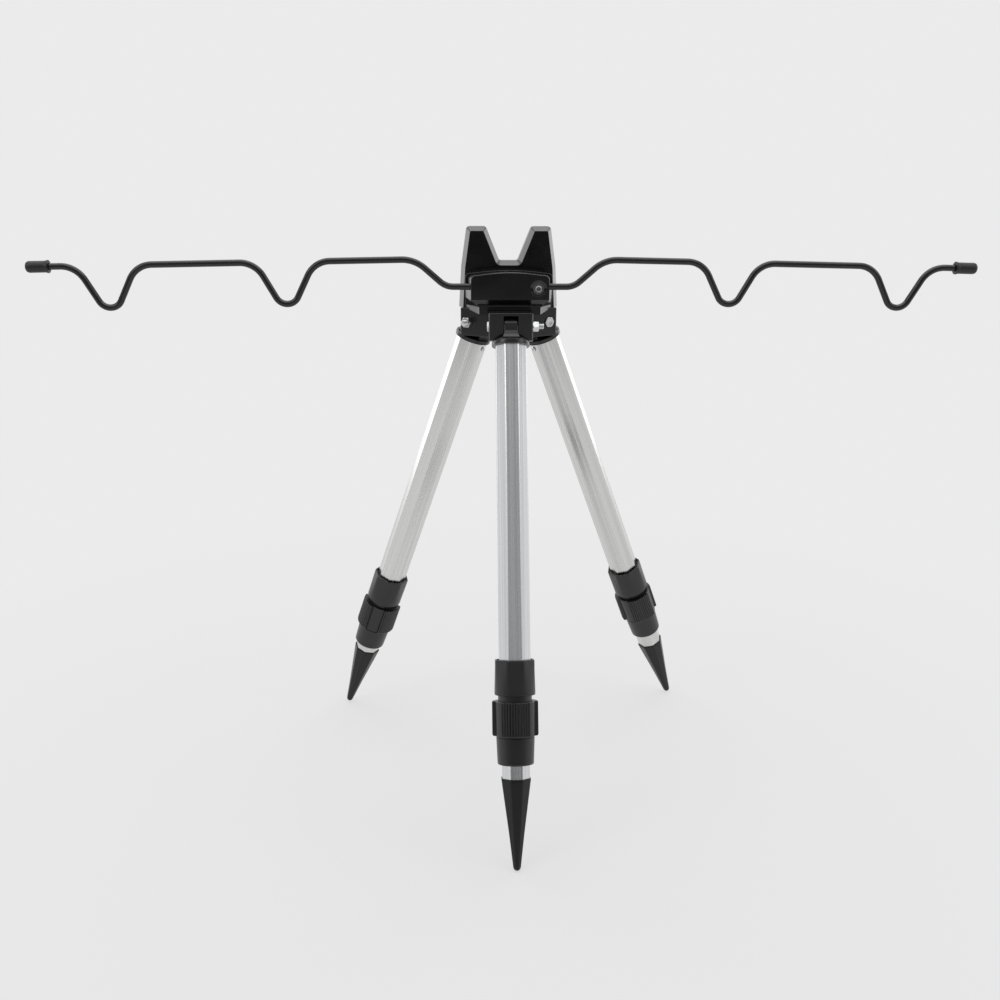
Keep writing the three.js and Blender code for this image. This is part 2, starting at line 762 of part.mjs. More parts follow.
function housingOutline() {
  const bottom = seat + housingBottom
  const top = seat + housingFaceTop
  const shoulder = housingFrontHalf - housingCorner
  const corner = new THREE.Vector2(shoulder, top - housingCorner)
  const round = Array.from({ length: cornerSteps }, (_, step) => new THREE.Vector2(housingCorner, 0)
    .rotateAround(new THREE.Vector2(), Math.PI / 2 * step / cornerSteps).add(corner))
  const arch = Array.from({ length: archSteps + 1 }, (_, step) => {
    const share = 1 - step * 2 / archSteps
    return new THREE.Vector2(shoulder * share, top + housingArch * (1 - share * share))
  })
  const right = [
    new THREE.Vector2(housingChinHalf, bottom),
    new THREE.Vector2(housingFrontHalf, seat + housingFaceBottom),
    ...round,
  ]
  const left = right.map(({ x, y }) => new THREE.Vector2(-x, y)).reverse()
  return [...right, ...arch, ...left]
}

function outlineBelow(top) {
  // The chin's outline: as wide as the housing's bottom, from the foot of the chin up to the given height.
  const low = seat - chinDrop - overrun
  return [[-housingChinHalf, low], [housingChinHalf, low], [housingChinHalf, top], [-housingChinHalf, top]]
    .map(([x, z]) => new THREE.Vector2(x, z))
}

function clampHousing() {
  const faceBottom = seat + housingFaceBottom
  const bottom = seat + housingBottom
  const slope = (faceBottom - bottom) / housingChamferDepth
  const chamfer = sideways([
    new THREE.Vector2(housingFront - overrun, faceBottom + overrun * slope),
    new THREE.Vector2(housingFront - overrun, bottom - overrun * slope),
    new THREE.Vector2(housingFront + housingChamferDepth + overrun, bottom - overrun * slope),
  ], -housingBackHalf - overrun, housingBackHalf + overrun)
  const chin = common(
    draftedBlock(outlineBelow(bottom + gap), housingFront, housingBack),
    sideways([
      new THREE.Vector2(housingFront + chinSetback, seat - chinDrop),
      new THREE.Vector2(housingBack, seat),
      new THREE.Vector2(housingBack, bottom + gap),
      new THREE.Vector2(housingFront + chinSetback, bottom + gap),
    ], -housingBackHalf, housingBackHalf))
  const block = join(cut(draftedBlock(housingOutline(), housingFront, housingBack), chamfer), chin)
  const outside = cut(block, ...legs.map(leg => lobe(leg, gap)))

  const wallFace = housingFront + housingWall
  const inner = housingFrontHalf - housingWall
  const low = armAxisZ - cavityHeight / 2
  const high = armAxisZ + cavityHeight / 2
  const cavity = draftedBlock([[-inner, low], [inner, low], [inner, high], [-inner, high]]
    .map(([x, z]) => new THREE.Vector2(x, z)), wallFace, housingBack + overrun)
  const postFront = armAxisY + wireDiameter / 2 + housingPostClearance
  const posts = coverScrews.filter(({ length }) => length === longScrewLength).flatMap(({ x, z, length }) => {
    const wall = Math.sign(x) * (housingBackHalf - housingWall / 2)
    return [
      boreY(x, z, postFront, housingBack, postWidth),
      box([Math.min(x, wall), Math.max(x, wall)], [postFront, housingBack],
        [z - housingPostWeb / 2, z + housingPostWeb / 2]),
    ]
  })
  const screwBores = coverScrews.filter(({ length }) => length === longScrewLength).map(({ x, z, length }) =>
    boreY(x, z, restBack - coverScrewSink - length - gap, housingBack + overrun))
  const armBore = alongX(rod(wireDiameter / 2 + gap, housingBackHalf * 2 + overrun * 2))
    .translate(-housingBackHalf - overrun, armAxisY, armAxisZ)
  const recess = boreY(clampScrewOffset, clampScrewZ, housingFront - overrun, housingFront + clampRecessDepth,
    clampRecessDiameter)
  const insertHole = boreY(clampScrewOffset, clampScrewZ, housingFront - overrun, wallFace + gap,
    insertDiameter + holeGap)
  const hubBore = rod(screwHole / 2, hubScrewTop + gap - seat + overrun)
    .translate(0, -housingHubScrewFront, seat - overrun)
  const shell = join(cut(outside, cavity), ...posts)
  return cut(shell, ...screwBores, armBore, recess, insertHole, hubBore)
}

// Arm clamp: a plate that the screw presses against both shanks, and the cradle behind them
function pressurePlate() {
  return box([-plateHalf, plateHalf], [plateFront, plateFront + plateThickness],
    [armAxisZ - plateHeight / 2, armAxisZ + plateHeight / 2])
}

function clampCradle() {
  const half = cradleHeight / 2
  const block = box([-cradleHalf, cradleHalf], [armAxisY, housingBack], [armAxisZ - half, armAxisZ + half])
  const groove = alongX(rod(wireDiameter / 2 + gap, cradleHalf * 2 + overrun * 2))
    .translate(-cradleHalf - overrun, armAxisY, armAxisZ)
  const pockets = [-1, 1].map(side => {
    const ends = [side * cradlePocketWall / 2, side * (cradleHalf - cradlePocketWall)]
    return box([Math.min(...ends), Math.max(...ends)], [housingBack - cradlePocketDepth, housingBack + overrun],
      [armAxisZ - half + cradlePocketWall, armAxisZ + half - cradlePocketWall])
  })
  return cut(block, groove, ...pockets)
}

function clampInsert() {
  const length = housingWall - clampRecessDepth
  const ring = cut(rod(insertDiameter / 2, length), rod(clampScrewDiameter / 2 + gap, length + overrun * 2)
    .translate(0, 0, -overrun))
  return alongY(ring)
}

function clampScrew() {
  // Outer end with the hexagon socket towards -Y, from its own outer face at the origin.
  const edge = fastenerChamfer
  const body = turned([
    [0, -clampScrewLength],
    [clampScrewDiameter / 2 - edge, -clampScrewLength],
    [clampScrewDiameter / 2, -clampScrewLength + edge],
    [clampScrewDiameter / 2, -edge],
    [clampScrewDiameter / 2 - edge, 0],
    [0, 0],
  ], smallSides)
  const socket = hexBar(clampSocketFlats, clampSocketDepth + overrun).translate(0, 0, -clampSocketDepth)
  return cut(body, socket).rotateX(Math.PI / 2)
}

// Bent wire arm: each move is a straight length or a bend, left turns positive, in degrees
const degrees = angle => THREE.MathUtils.degToRad(angle)

function armMoves() {
  const rise = degrees(riseAngle)
  const droop = degrees(armDroop)
  const vee = degrees(veeAngle)
  const lowRise = riseLowRadius * (1 - Math.cos(rise))
  const highRise = riseHighRadius * (Math.cos(droop) - Math.cos(rise))
  const riseStraight = (riseHeight - lowRise - highRise) / Math.sin(rise)
  const riseEnd = shankEnd + (riseLowRadius + riseHighRadius) * Math.sin(rise)
    + riseStraight * Math.cos(rise) + riseHighRadius * Math.sin(droop)
  const veeStraight = (veeDepth - (veeShoulderRadius + veeBottomRadius) * (1 - Math.cos(vee))) / Math.sin(vee)
  const veeHalf = (veeShoulderRadius + veeBottomRadius) * Math.sin(vee) + veeStraight * Math.cos(vee)
  const veeBend = [
    { bend: -veeAngle, radius: veeShoulderRadius },
    { forward: veeStraight },
    { bend: veeAngle * 2, radius: veeBottomRadius },
    { forward: veeStraight },
    { bend: -veeAngle, radius: veeShoulderRadius },
  ]
  return [
    { forward: shankEnd - shankStart },
    { bend: riseAngle, radius: riseLowRadius },
    { forward: riseStraight },
    { bend: -riseAngle - armDroop, radius: riseHighRadius },
    { forward: innerVeeOffset - veeHalf - riseEnd },
    ...veeBend,
    { forward: veeSpacing - veeHalf * 2 },
    ...veeBend,
    { forward: armEndReach - capEndThickness - gap - veeHalf },
  ]
}

function armStations() {
  const stations = [{ x: shankStart, z: 0, heading: 0 }]
  for (const { forward, bend, radius } of armMoves()) {
    const steps = bend ? Math.ceil(Math.abs(bend) / bendStep) : 1
    const turn = degrees(bend ?? 0) / steps
    const length = bend ? 2 * radius * Math.sin(Math.abs(turn) / 2) : forward
    for (let step = 0; step < steps; step++) {
      const { x, z, heading } = stations.at(-1)
      const chord = heading + turn / 2
      stations.push({ x: x + length * Math.cos(chord), z: z + length * Math.sin(chord), heading: heading + turn })
    }
  }
  return stations
}

function restArm() {
  // The wire's section is carried from station to station, square to the wire.
  const positions = armStations().flatMap(({ x, z, heading }) =>
    Array.from({ length: wireSides }, (_, side) => {
      const angle = Math.PI * 2 * (side + 0.5) / wireSides
      const up = Math.cos(angle) * wireDiameter / 2
      const back = Math.sin(angle) * wireDiameter / 2
      return [x - Math.sin(heading) * up, back, z + Math.cos(heading) * up]
    }).flat())
  const last = positions.length / 3 - wireSides
  const index = []
  for (let side = 1; side < wireSides - 1; side++) {
    index.push(0, side, side + 1, last, last + side + 1, last + side)
  }
  for (let ring = 0; ring < last; ring += wireSides) {
    for (let side = 0; side < wireSides; side++) {
      const a = ring + side
      const b = ring + (side + 1) % wireSides
      index.push(a, b + wireSides, b, a, a + wireSides, b + wireSides)
    }
  }
  const geometry = new THREE.BufferGeometry()
  geometry.setAttribute('position', new THREE.Float32BufferAttribute(positions, 3))
  return geometry.setIndex(index)
}

function armCap() {
  // Open end at the origin, closed end towards +X.
  const radius = capDiameter / 2
  const bore = wireDiameter / 2 + gap
  const depth = capLength - capEndThickness
  const round = Array.from({ length: cornerSteps + 1 }, (_, step) => {
    const angle = Math.PI / 2 * step / cornerSteps
    return [radius - capRound * (1 - Math.cos(angle)), capLength - capRound * (1 - Math.sin(angle))]
  })
  return alongX(turned([
    [0, depth],
    [bore, depth],
    [bore, 0],
    [radius + capFlare, 0],
    [radius, capFlareLength],
    ...round,
    [0, capLength],
  ], capSides))
}

// Assembly
const stand = new THREE.Group()

function addLeg(leg) {
  const { turn, swing } = hingeFrame(leg)
  const foot = new THREE.Group()
  foot.position.z = -spikeDrop(leg)
  const knob = piece(`${leg.name}_lock_knob`, 'blackPlastic', lockKnob())
  knob.rotation.z = degrees(leg.knobTurn)
  foot.add(
    piece(`${leg.name}_inner_tube`, 'aluminium', innerTube()),
    piece(`${leg.name}_guide_bush`, 'blackPlastic', guideBush()),
    piece(`${leg.name}_foot_spike`, 'blackPlastic', footSpike()),
  )
  swing.add(
    piece(`${leg.name}_leg_cap`, 'blackPlastic', legCap()),
    piece(`${leg.name}_outer_tube`, 'aluminium', outerTube()),
    piece(`${leg.name}_cap_screw`, 'zincSteel', capScrew()),
    piece(`${leg.name}_lock_collar`, 'blackPlastic', lockCollar()),
    piece(`${leg.name}_collet`, 'blackPlastic', collet()),
    knob,
    foot,
  )
  stand.add(turn)

  const level = hingeFrame(leg, 0)
  level.swing.add(
    piece(`${leg.name}_hinge_bolt`, 'zincSteel', hingeBolt()),
    piece(`${leg.name}_hinge_nut`, 'zincSteel', hingeNut()),
  )
  stand.add(level.turn)
}

function addArm(hand, turnedBy) {
  const arm = new THREE.Group()
  arm.position.set(0, armAxisY, armAxisZ)
  arm.rotation.z = turnedBy
  const end = armStations().at(-1)
  const cap = piece(`${hand}_arm_cap`, 'rubber', armCap())
  const inside = capLength - capEndThickness - gap
  cap.position.set(end.x - inside * Math.cos(end.heading), 0, end.z - inside * Math.sin(end.heading))
  cap.rotation.y = -end.heading
  arm.add(piece(`${hand}_rest_arm`, 'blackSteel', restArm()), cap)
  stand.add(arm)
}

function addHead() {
  stand.add(
    piece('hub', 'blackPlastic', hub()),
    piece('rest_body', 'blackPlastic', restBody()),
    piece('rest_rear_cover', 'blackPlastic', rearCover()),
    piece('clamp_housing', 'blackPlastic', clampHousing()),
    piece('clamp_cradle', 'blackPlastic', clampCradle()),
    piece('pressure_plate', 'zincSteel', pressurePlate()),
  )
  const insert = piece('clamp_insert', 'brass', clampInsert())
  insert.position.set(clampScrewOffset, housingFront + clampRecessDepth, clampScrewZ)
  const clamp = piece('clamp_screw', 'zincSteel', clampScrew())
  clamp.position.set(clampScrewOffset, clampScrewFront, clampScrewZ)
  stand.add(insert, clamp)
  for (const { name, x, y } of hubScrews) {
    const fastener = piece(name, 'zincSteel', screw(hubScrewLength).rotateX(Math.PI))
    fastener.position.set(x, y, hubScrewSeat)
    stand.add(fastener)
  }
  for (const { name, x, z, length } of coverScrews) {
    const fastener = piece(name, 'zincSteel', alongY(screw(length)))
    fastener.position.set(x, restBack - coverScrewSink + gap, z)
    stand.add(fastener)
  }
}

legs.forEach(addLeg)
addHead()
addArm('right', 0)
addArm('left', Math.PI)

// The origin is on the ground in the middle of the stand's outline.
const model = new THREE.Group()
model.add(stand)
model.updateMatrixWorld(true)
const extent = new THREE.Box3().setFromObject(stand, true)
const middle = extent.getCenter(new THREE.Vector3())
stand.position.set(-middle.x, -middle.y, -extent.min.z)

export default model
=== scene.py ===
import math

import bmesh
import bpy
from mathutils import Matrix, Vector

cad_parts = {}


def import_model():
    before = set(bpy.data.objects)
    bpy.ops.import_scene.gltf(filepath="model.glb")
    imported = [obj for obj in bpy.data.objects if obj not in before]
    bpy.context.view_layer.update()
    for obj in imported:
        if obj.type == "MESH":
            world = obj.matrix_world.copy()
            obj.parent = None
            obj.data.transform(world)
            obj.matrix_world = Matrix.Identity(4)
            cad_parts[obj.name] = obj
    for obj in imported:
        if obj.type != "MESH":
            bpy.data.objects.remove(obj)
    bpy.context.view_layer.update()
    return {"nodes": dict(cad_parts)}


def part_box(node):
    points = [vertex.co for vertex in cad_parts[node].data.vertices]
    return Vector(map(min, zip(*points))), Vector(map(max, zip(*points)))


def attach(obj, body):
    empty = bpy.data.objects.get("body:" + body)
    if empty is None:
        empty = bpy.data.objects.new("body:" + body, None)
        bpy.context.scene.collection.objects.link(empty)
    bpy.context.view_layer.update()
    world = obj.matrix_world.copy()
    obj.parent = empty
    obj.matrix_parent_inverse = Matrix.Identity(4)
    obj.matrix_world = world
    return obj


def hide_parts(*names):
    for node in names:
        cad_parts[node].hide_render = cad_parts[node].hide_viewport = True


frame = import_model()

# The hub's axis at the height of the hinge bolts, in metres
HUB = Vector((0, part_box("rest_body")[0].y - 0.004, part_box("hub")[1].z - 0.0115))
# Each leg's azimuth and splay in degrees, then how far down the leg its foot starts
LEGS = {"front": (-90, 22), "right": (30, 23.5), "left": (150, 21)}
FOOT_DROPS = {"front": 363.34, "right": 368.10, "left": 360.38}
KNOB_TWISTS = {"front": -91.5, "right": 40.5, "left": 200.5}
# From the hub's axis out to the hinge bolts, and from the bolts up to the seat of the rest
PIVOT_OUT = 29
SEAT = 11.8
# Axes of the arms' shanks, of the clamp screw and of the screws at the back of the rest
ARM_Y, ARM_Z = -14.7, 30.6
CLAMP_X, CLAMP_Z = 23.3, 29.4
EAR_SCREW_X, EAR_SCREW_Z = 25.3, 64.0
HOUSING_SCREW_X = 28.5
HUB_SCREWS = {"rest_hub_screw_left": (-9, 11), "rest_hub_screw_right": (9, 11), "housing_hub_screw": (0, -9)}
HANDS = (("left", -1), ("right", 1))
# Hexagon of the hinge bolts across flats; radii of the holes for them, of the arms' wire and of its hole
BOLT_HEX, BOLT_HOLE = 8, 2.75
WIRE, ARM_ROOM = 2.7, 2.8
MM = Matrix.Scale(0.001, 4)
HEAD_FRAME = Matrix.Translation(HUB) @ MM
STAND = Matrix.Rotation(math.pi / 2, 4, "X")
STANDING = HEAD_FRAME @ STAND
# Turns an outline drawn as (y, z) and extruded along its height into a piece extruded along X
ACROSS = Matrix.Rotation(math.pi / 2, 4, "Z") @ Matrix.Rotation(math.pi / 2, 4, "X")


def facing(leg):
    return Matrix.Rotation(math.radians(LEGS[leg][0] + 90), 4, "Z")


def fork_frame(leg):
    return HEAD_FRAME @ facing(leg) @ Matrix.Translation((0, -PIVOT_OUT, 0))


def leg_frame(leg):
    return fork_frame(leg) @ Matrix.Rotation(-math.radians(LEGS[leg][1]), 4, "X")


# Drawing

# A corner whose two sides point this far apart is no corner
STRAIGHT = -0.9999
EDGE_STEPS = 4


def rounded(points, steps=6):
    """The outline with its corners turned into arcs: (x, y) stays sharp, (x, y, radius) is rounded."""
    arcs = []
    for i, point in enumerate(points):
        here = Vector(point[:2])
        radius = point[2] if len(point) > 2 else 0
        back = (Vector(points[i - 1][:2]) - here).normalized()
        on = (Vector(points[(i + 1) % len(points)][:2]) - here).normalized()
        if not radius or back.dot(on) < STRAIGHT:
            arcs.append(tuple(here))
            continue
        half = back.angle(on) / 2
        middle = here + (back + on).normalized() * radius / math.sin(half)
        start = here + back * radius / math.tan(half) - middle
        end = here + on * radius / math.tan(half) - middle
        sweep = start.angle_signed(end)
        for step in range(steps + 1):
            spoke = start.copy()
            spoke.rotate(Matrix.Rotation(-sweep * step / steps, 2))
            arcs.append(tuple(middle + spoke))
    return arcs


def drawn_in(points, distance):
    """The same outline, counterclockwise, with every side moved inwards."""
    moved_points = []
    for i, point in enumerate(points):
        here = Vector(point[:2])
        arrive = (here - Vector(points[i - 1][:2])).normalized()
        leave = (Vector(points[(i + 1) % len(points)][:2]) - here).normalized()
        inward = Vector((-arrive.y - leave.y, arrive.x + leave.x)).normalized()
        reach = distance / inward.dot(Vector((-arrive.y, arrive.x)))
        moved_points.append((*(here + inward * reach), *point[2:]))
    return moved_points


def inset(points, distance, steps=6, least=0.05):
    """The outline drawn in, its own corner radii with it but not below the least, and then rounded."""
    count = len(points)
    drawn = []
    for i, (x, y, *own) in enumerate(drawn_in(points, distance)):
        before, here, after = (Vector(points[k % count][:2]) for k in (i - 1, i, i + 1))
        step_in, step_on = here - before, after - here
        hollow = step_in.x * step_on.y - step_in.y * step_on.x < 0
        radius = own[0] if own else 0
        drawn.append((x, y, radius and max(radius + (distance if hollow else -distance), least)))
    return rounded(drawn, steps=steps)


def eased(edge):
    """A rounded edge as pairs: how far the outline is drawn in, and how far from the end face."""
    turns = [math.pi / 2 * step / EDGE_STEPS for step in range(EDGE_STEPS + 1)]
    return [(edge * (1 - math.sin(a)), edge * (1 - math.cos(a))) for a in turns]


def ring_points(radius_at, count=128):
    """An outline whose radius is given for each angle."""
    angles = [math.tau * i / count for i in range(count)]
    return [(radius_at(a) * math.cos(a), radius_at(a) * math.sin(a)) for a in angles]


def circle(radius, count=128):
    return ring_points(lambda angle: radius, count)


def octagon(flats, corner=1.0, count=128):
    """Eight flats with rounded corners; the first flat faces +X."""
    half = flats / 2
    flat_end = math.atan2((half - corner) * math.tan(math.pi / 8), half)
    reach = (half - corner) / math.cos(math.pi / 8)

    def radius_at(angle):
        turn = abs((angle + math.pi / 8) % (math.pi / 4) - math.pi / 8)
        if turn <= flat_end:
            return half / math.cos(turn)
        off = math.pi / 8 - turn
        return reach * math.cos(off) + math.sqrt(max(corner ** 2 - (reach * math.sin(off)) ** 2, 0))

    return ring_points(radius_at, count)


# Modelling

JOIN_DISTANCE = 0.0005


def only(piece):
    bpy.ops.object.select_all(action="DESELECT")
    piece.select_set(True)
    bpy.context.view_layer.objects.active = piece


def edit(piece):
    only(piece)
    bpy.ops.object.mode_set(mode="EDIT")


def added(name, add, **settings):
    """The piece that an add operator makes."""
    bpy.ops.object.select_all(action="DESELECT")
    add(**settings)
    piece = bpy.context.object
    piece.name = name
    return piece


def freeze(piece):
    """Writes the object's place, turn and scale into its mesh."""
    only(piece)
    bpy.ops.object.transform_apply(location=True, rotation=True, scale=True)
    return piece


def pick(piece, kind, wanted):
    """In edit mode: selects the wanted edges or faces and nothing else."""
    bpy.ops.mesh.select_mode(type=kind)
    bpy.ops.mesh.select_all(action="DESELECT")
    mesh = bmesh.from_edit_mesh(piece.data)
    for item in mesh.edges if kind == "EDGE" else mesh.faces:
        item.select_set(wanted(item))
    bmesh.update_edit_mesh(piece.data)


def tidy_surface():
    """In edit mode: joins what coincides and turns every face outwards."""
    bpy.ops.mesh.select_all(action="SELECT")
    bpy.ops.mesh.remove_doubles(threshold=JOIN_DISTANCE)
    bpy.ops.mesh.delete_loose(use_verts=True, use_edges=True, use_faces=False)
    bpy.ops.mesh.select_all(action="SELECT")
    bpy.ops.mesh.normals_make_consistent(inside=False)


def lofted(name, sections, pipe=False):
    """An outline is drawn as a circle's points, extruded from height to height and fitted to each outline.
    A pipe's last outline is bridged to its first."""
    points, height = sections[0]
    piece = added(name, bpy.ops.mesh.primitive_circle_add, vertices=len(points), radius=1,
                  fill_type="NOTHING" if pipe else "NGON")
    for vertex, (x, y) in zip(piece.data.vertices, points):
        vertex.co = (x, y, height)
    edit(piece)
    bpy.ops.mesh.select_all(action="SELECT")
    order = list(range(len(points)))
    for points, height in sections[1:]:
        if pipe:
            bpy.ops.mesh.extrude_edges_move()
        else:
            bpy.ops.mesh.extrude_region_move()
        mesh = bmesh.from_edit_mesh(piece.data)
        mesh.verts.ensure_lookup_table()
        mesh.verts.index_update()
        lower = {i: mesh.verts[i] for i in order}
        raised = []
        for i in order:
            above = [e.other_vert(lower[i]) for e in lower[i].link_edges if e.other_vert(lower[i]).select]
            raised.append(above[0].index)
        for i, (x, y) in zip(raised, points):
            mesh.verts[i].co = (x, y, height)
        order = raised
        bmesh.update_edit_mesh(piece.data)
    if pipe:
        pick(piece, "EDGE", lambda edge: edge.is_boundary)
        bpy.ops.mesh.bridge_edge_loops()
        bpy.ops.mesh.select_mode(type="VERT")
    tidy_surface()
    bpy.ops.object.mode_set(mode="OBJECT")
    return piece


def turned(name, profile, steps=64):
    """Spins a profile of (radius, height) points, closed on itself or on the axis, round Z."""
    piece = added(name, bpy.ops.mesh.primitive_circle_add, vertices=len(profile), radius=1)
    for vertex, (radius, height) in zip(piece.data.vertices, profile):
        vertex.co = (radius, 0, height)
    edit(piece)
    pick(piece, "EDGE", lambda edge: all(abs(v.co.x) < 1e-6 for v in edge.verts))
    bpy.ops.mesh.delete(type="EDGE")
    bpy.ops.mesh.select_mode(type="VERT")
    bpy.ops.mesh.select_all(action="SELECT")
    bpy.ops.mesh.spin(steps=steps, angle=math.tau, center=(0, 0, 0), axis=(0, 0, 1))
    tidy_surface()
    bpy.ops.object.mode_set(mode="OBJECT")
    return piece


def block(name, x, y, z):
    """A box between the given ends, only ever a cutter."""
    middle = [sum(ends) / 2 for ends in (x, y, z)]
    size = [high - low for low, high in (x, y, z)]
    return freeze(added(name, bpy.ops.mesh.primitive_cube_add, size=1, location=middle, scale=size))


def apply_matrix(piece, matrix):
    """Moves the piece and leaves its object at the origin."""
    piece.matrix_world = matrix
    return freeze(piece)


def moved(piece, x=0.0, y=0.0, z=0.0):
    return apply_matrix(piece, Matrix.Translation((x, y, z)))


def along_x(piece):
    return apply_matrix(piece, Matrix.Rotation(math.pi / 2, 4, "Y"))


def along_y(piece):
    return apply_matrix(piece, Matrix.Rotation(-math.pi / 2, 4, "X"))


def combined(piece, tools, operation):
    for tool in tools:
        boolean = piece.modifiers.new("fit", "BOOLEAN")
        boolean.operation = operation
        boolean.solver = "EXACT"
        boolean.object = tool
        only(piece)
        bpy.ops.object.modifier_apply(modifier=boolean.name)
        bpy.data.objects.remove(tool, do_unlink=True)
    return piece


def cut(piece, *tools):
    return combined(piece, tools, "DIFFERENCE")


def welded(piece, *tools):
    return combined(piece, tools, "UNION")


def softened(piece, smooth=32):
    """Shades the rounded edges smooth and the wide faces flat; edges over the angle in degrees stay sharp."""
    only(piece)
    bpy.ops.object.shade_smooth_by_angle(angle=math.radians(smooth))
    weighting = piece.modifiers.new("flat faces", "WEIGHTED_NORMAL")
    weighting.keep_sharp = True
    bpy.ops.object.modifier_apply(modifier=weighting.name)
    return piece


def copied(piece, name):
    twin = piece.copy()
    twin.data = piece.data.copy()
    twin.name = name
    bpy.context.collection.objects.link(twin)
    return twin


def fitted(piece, matrix, body, node, finish):
    """Places a finished piece, hangs it on the body it rides on, gives it its finish and hides the frame's node
    it takes the place of.
    """
    apply_matrix(piece, matrix)
    piece.data.materials.clear()
    piece.data.materials.append(finish)
    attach(piece, body)
    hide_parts(node)


# Finishes

RELIEF_DEPTH = 0.00005


def socket(tree, name, kind, way="INPUT", value=None):
    made = tree.interface.new_socket(name=name, in_out=way, socket_type=f"NodeSocket{kind}")
    if value is not None:
        made.default_value = value


def node(tree, kind, **settings):
    made = tree.nodes.new(f"ShaderNode{kind}")
    for key, value in settings.items():
        setattr(made, key, value)
    return made


def new_group(name, inputs, outputs):
    tree = bpy.data.node_groups.new(name, "ShaderNodeTree")
    for label, kind, value in inputs:
        socket(tree, label, kind, value=value)
    for label, kind in outputs:
        socket(tree, label, kind, way="OUTPUT")
    return tree, tree.nodes.new("NodeGroupInput"), tree.nodes.new("NodeGroupOutput")


def feed(tree, target, value):
    """Links an output to the input, or writes a constant there."""
    if isinstance(value, bpy.types.NodeSocket):
        tree.links.new(value, target)
    else:
        target.default_value = value


def math_node(tree, operation, first, second, clamp=False):
    made = node(tree, "Math", operation=operation, use_clamp=clamp)
    feed(tree, made.inputs[0], first)
    feed(tree, made.inputs[1], second)
    return made.outputs[0]


def product(tree, first, second):
    return math_node(tree, "MULTIPLY", first, second)


def swing(tree, value, amount):
    """A 0 to 1 value turned into a change either way, by the amount in all."""
    return product(tree, math_node(tree, "SUBTRACT", value, 0.5), amount)


def spread(tree, value, low, high, to_low=0.0):
    """Maps the value's low to high onto 0, or the number given, to 1."""
    made = node(tree, "MapRange")
    for label, number in (("Value", value), ("From Min", low), ("From Max", high), ("To Min", to_low)):
        feed(tree, made.inputs[label], number)
    return made.outputs["Result"]


def noise(tree, vector, scale, detail=3.0, rough=0.5):
    made = node(tree, "TexNoise")
    for label, value in (("Vector", vector), ("Scale", scale), ("Detail", detail), ("Roughness", rough)):
        feed(tree, made.inputs[label], value)
    return made.outputs["Fac"]


def mixed_colour(tree, factor, first, second, blend="MIX"):
    made = node(tree, "Mix", data_type="RGBA", blend_type=blend)
    for label, value in (("Factor_Float", factor), ("A_Color", first), ("B_Color", second)):
        feed(tree, next(s for s in made.inputs if s.identifier == label), value)
    return next(s for s in made.outputs if s.identifier == "Result_Color")


def moulding_group():
    """Moulded plastic: a fine grain, a slow sheen change, faint flow marks and a few handling scuffs."""
    tree, given, out = new_group("moulded surface", [
        ("Vector", "Vector", None), ("Colour", "Color", (0.01, 0.01, 0.011, 1)), ("Roughness", "Float", 0.3),
        ("Sheen change", "Float", 0.06), ("Grain size", "Float", 2600.0), ("Scuffs", "Float", 0.3),
    ], [("Colour", "Color"), ("Roughness", "Float"), ("Height", "Float")])
    at = given.outputs["Vector"]
    grain = noise(tree, at, given.outputs["Grain size"], 2.0)
    flow = noise(tree, at, 38.0, 3.0, 0.55)
    rubbed = spread(tree, noise(tree, at, 55.0, 2.0), 0.56, 0.70)
    scratch = spread(tree, noise(tree, at, 900.0, 5.0, 0.7), 0.60, 0.68)
    scuffed = product(tree, product(tree, rubbed, scratch), given.outputs["Scuffs"])
    lighter = mixed_colour(tree, 1.0, given.outputs["Colour"], (1.9, 1.9, 1.88, 1), "MULTIPLY")
    shade = mixed_colour(tree, flow, given.outputs["Colour"], lighter)
    shade = mixed_colour(tree, scuffed, shade, (0.05, 0.05, 0.049, 1))
    tree.links.new(shade, out.inputs["Colour"])
    change = product(tree, swing(tree, flow, given.outputs["Sheen change"]), 2.0)
    base = math_node(tree, "ADD", given.outputs["Roughness"], change)
    worn = math_node(tree, "ADD", swing(tree, grain, 0.08), product(tree, scuffed, 0.25))
    tree.links.new(math_node(tree, "ADD", base, worn, clamp=True), out.inputs["Roughness"])
    tree.links.new(grain, out.inputs["Height"])
    return tree


def drawn_metal_group():
    """Drawn or rolled metal: fine streaks along Z, a slow tone change and small scuffs."""
    tree, given, out = new_group("drawn metal", [
        ("Vector", "Vector", None), ("Colour", "Color", (0.7, 0.71, 0.72, 1)), ("Roughness", "Float", 0.3),
        ("Streaks", "Float", 0.1),
    ], [("Colour", "Color"), ("Roughness", "Float"), ("Height", "Float")])
    stretch = node(tree, "VectorMath", operation="MULTIPLY")
    tree.links.new(given.outputs["Vector"], stretch.inputs[0])
    stretch.inputs[1].default_value = (1, 1, 0.0025)
    streak = noise(tree, stretch.outputs[0], 1200.0, 4.0, 0.6)
    wide = noise(tree, stretch.outputs[0], 420.0, 2.0)
    slow = noise(tree, given.outputs["Vector"], 14.0, 2.0)
    both = math_node(tree, "ADD", product(tree, streak, 0.6), product(tree, wide, 0.4))
    tone = spread(tree, both, 0.3, 0.7)
    dark = mixed_colour(tree, given.outputs["Streaks"], given.outputs["Colour"], (0.25, 0.26, 0.28, 1))
    shade = mixed_colour(tree, tone, dark, given.outputs["Colour"])
    shade = mixed_colour(tree, product(tree, slow, 0.25), shade, (0.62, 0.62, 0.61, 1))
    tree.links.new(shade, out.inputs["Colour"])
    rough = math_node(tree, "ADD", given.outputs["Roughness"], swing(tree, both, 0.35), clamp=True)
    tree.links.new(rough, out.inputs["Roughness"])
    tree.links.new(both, out.inputs["Height"])
    return tree


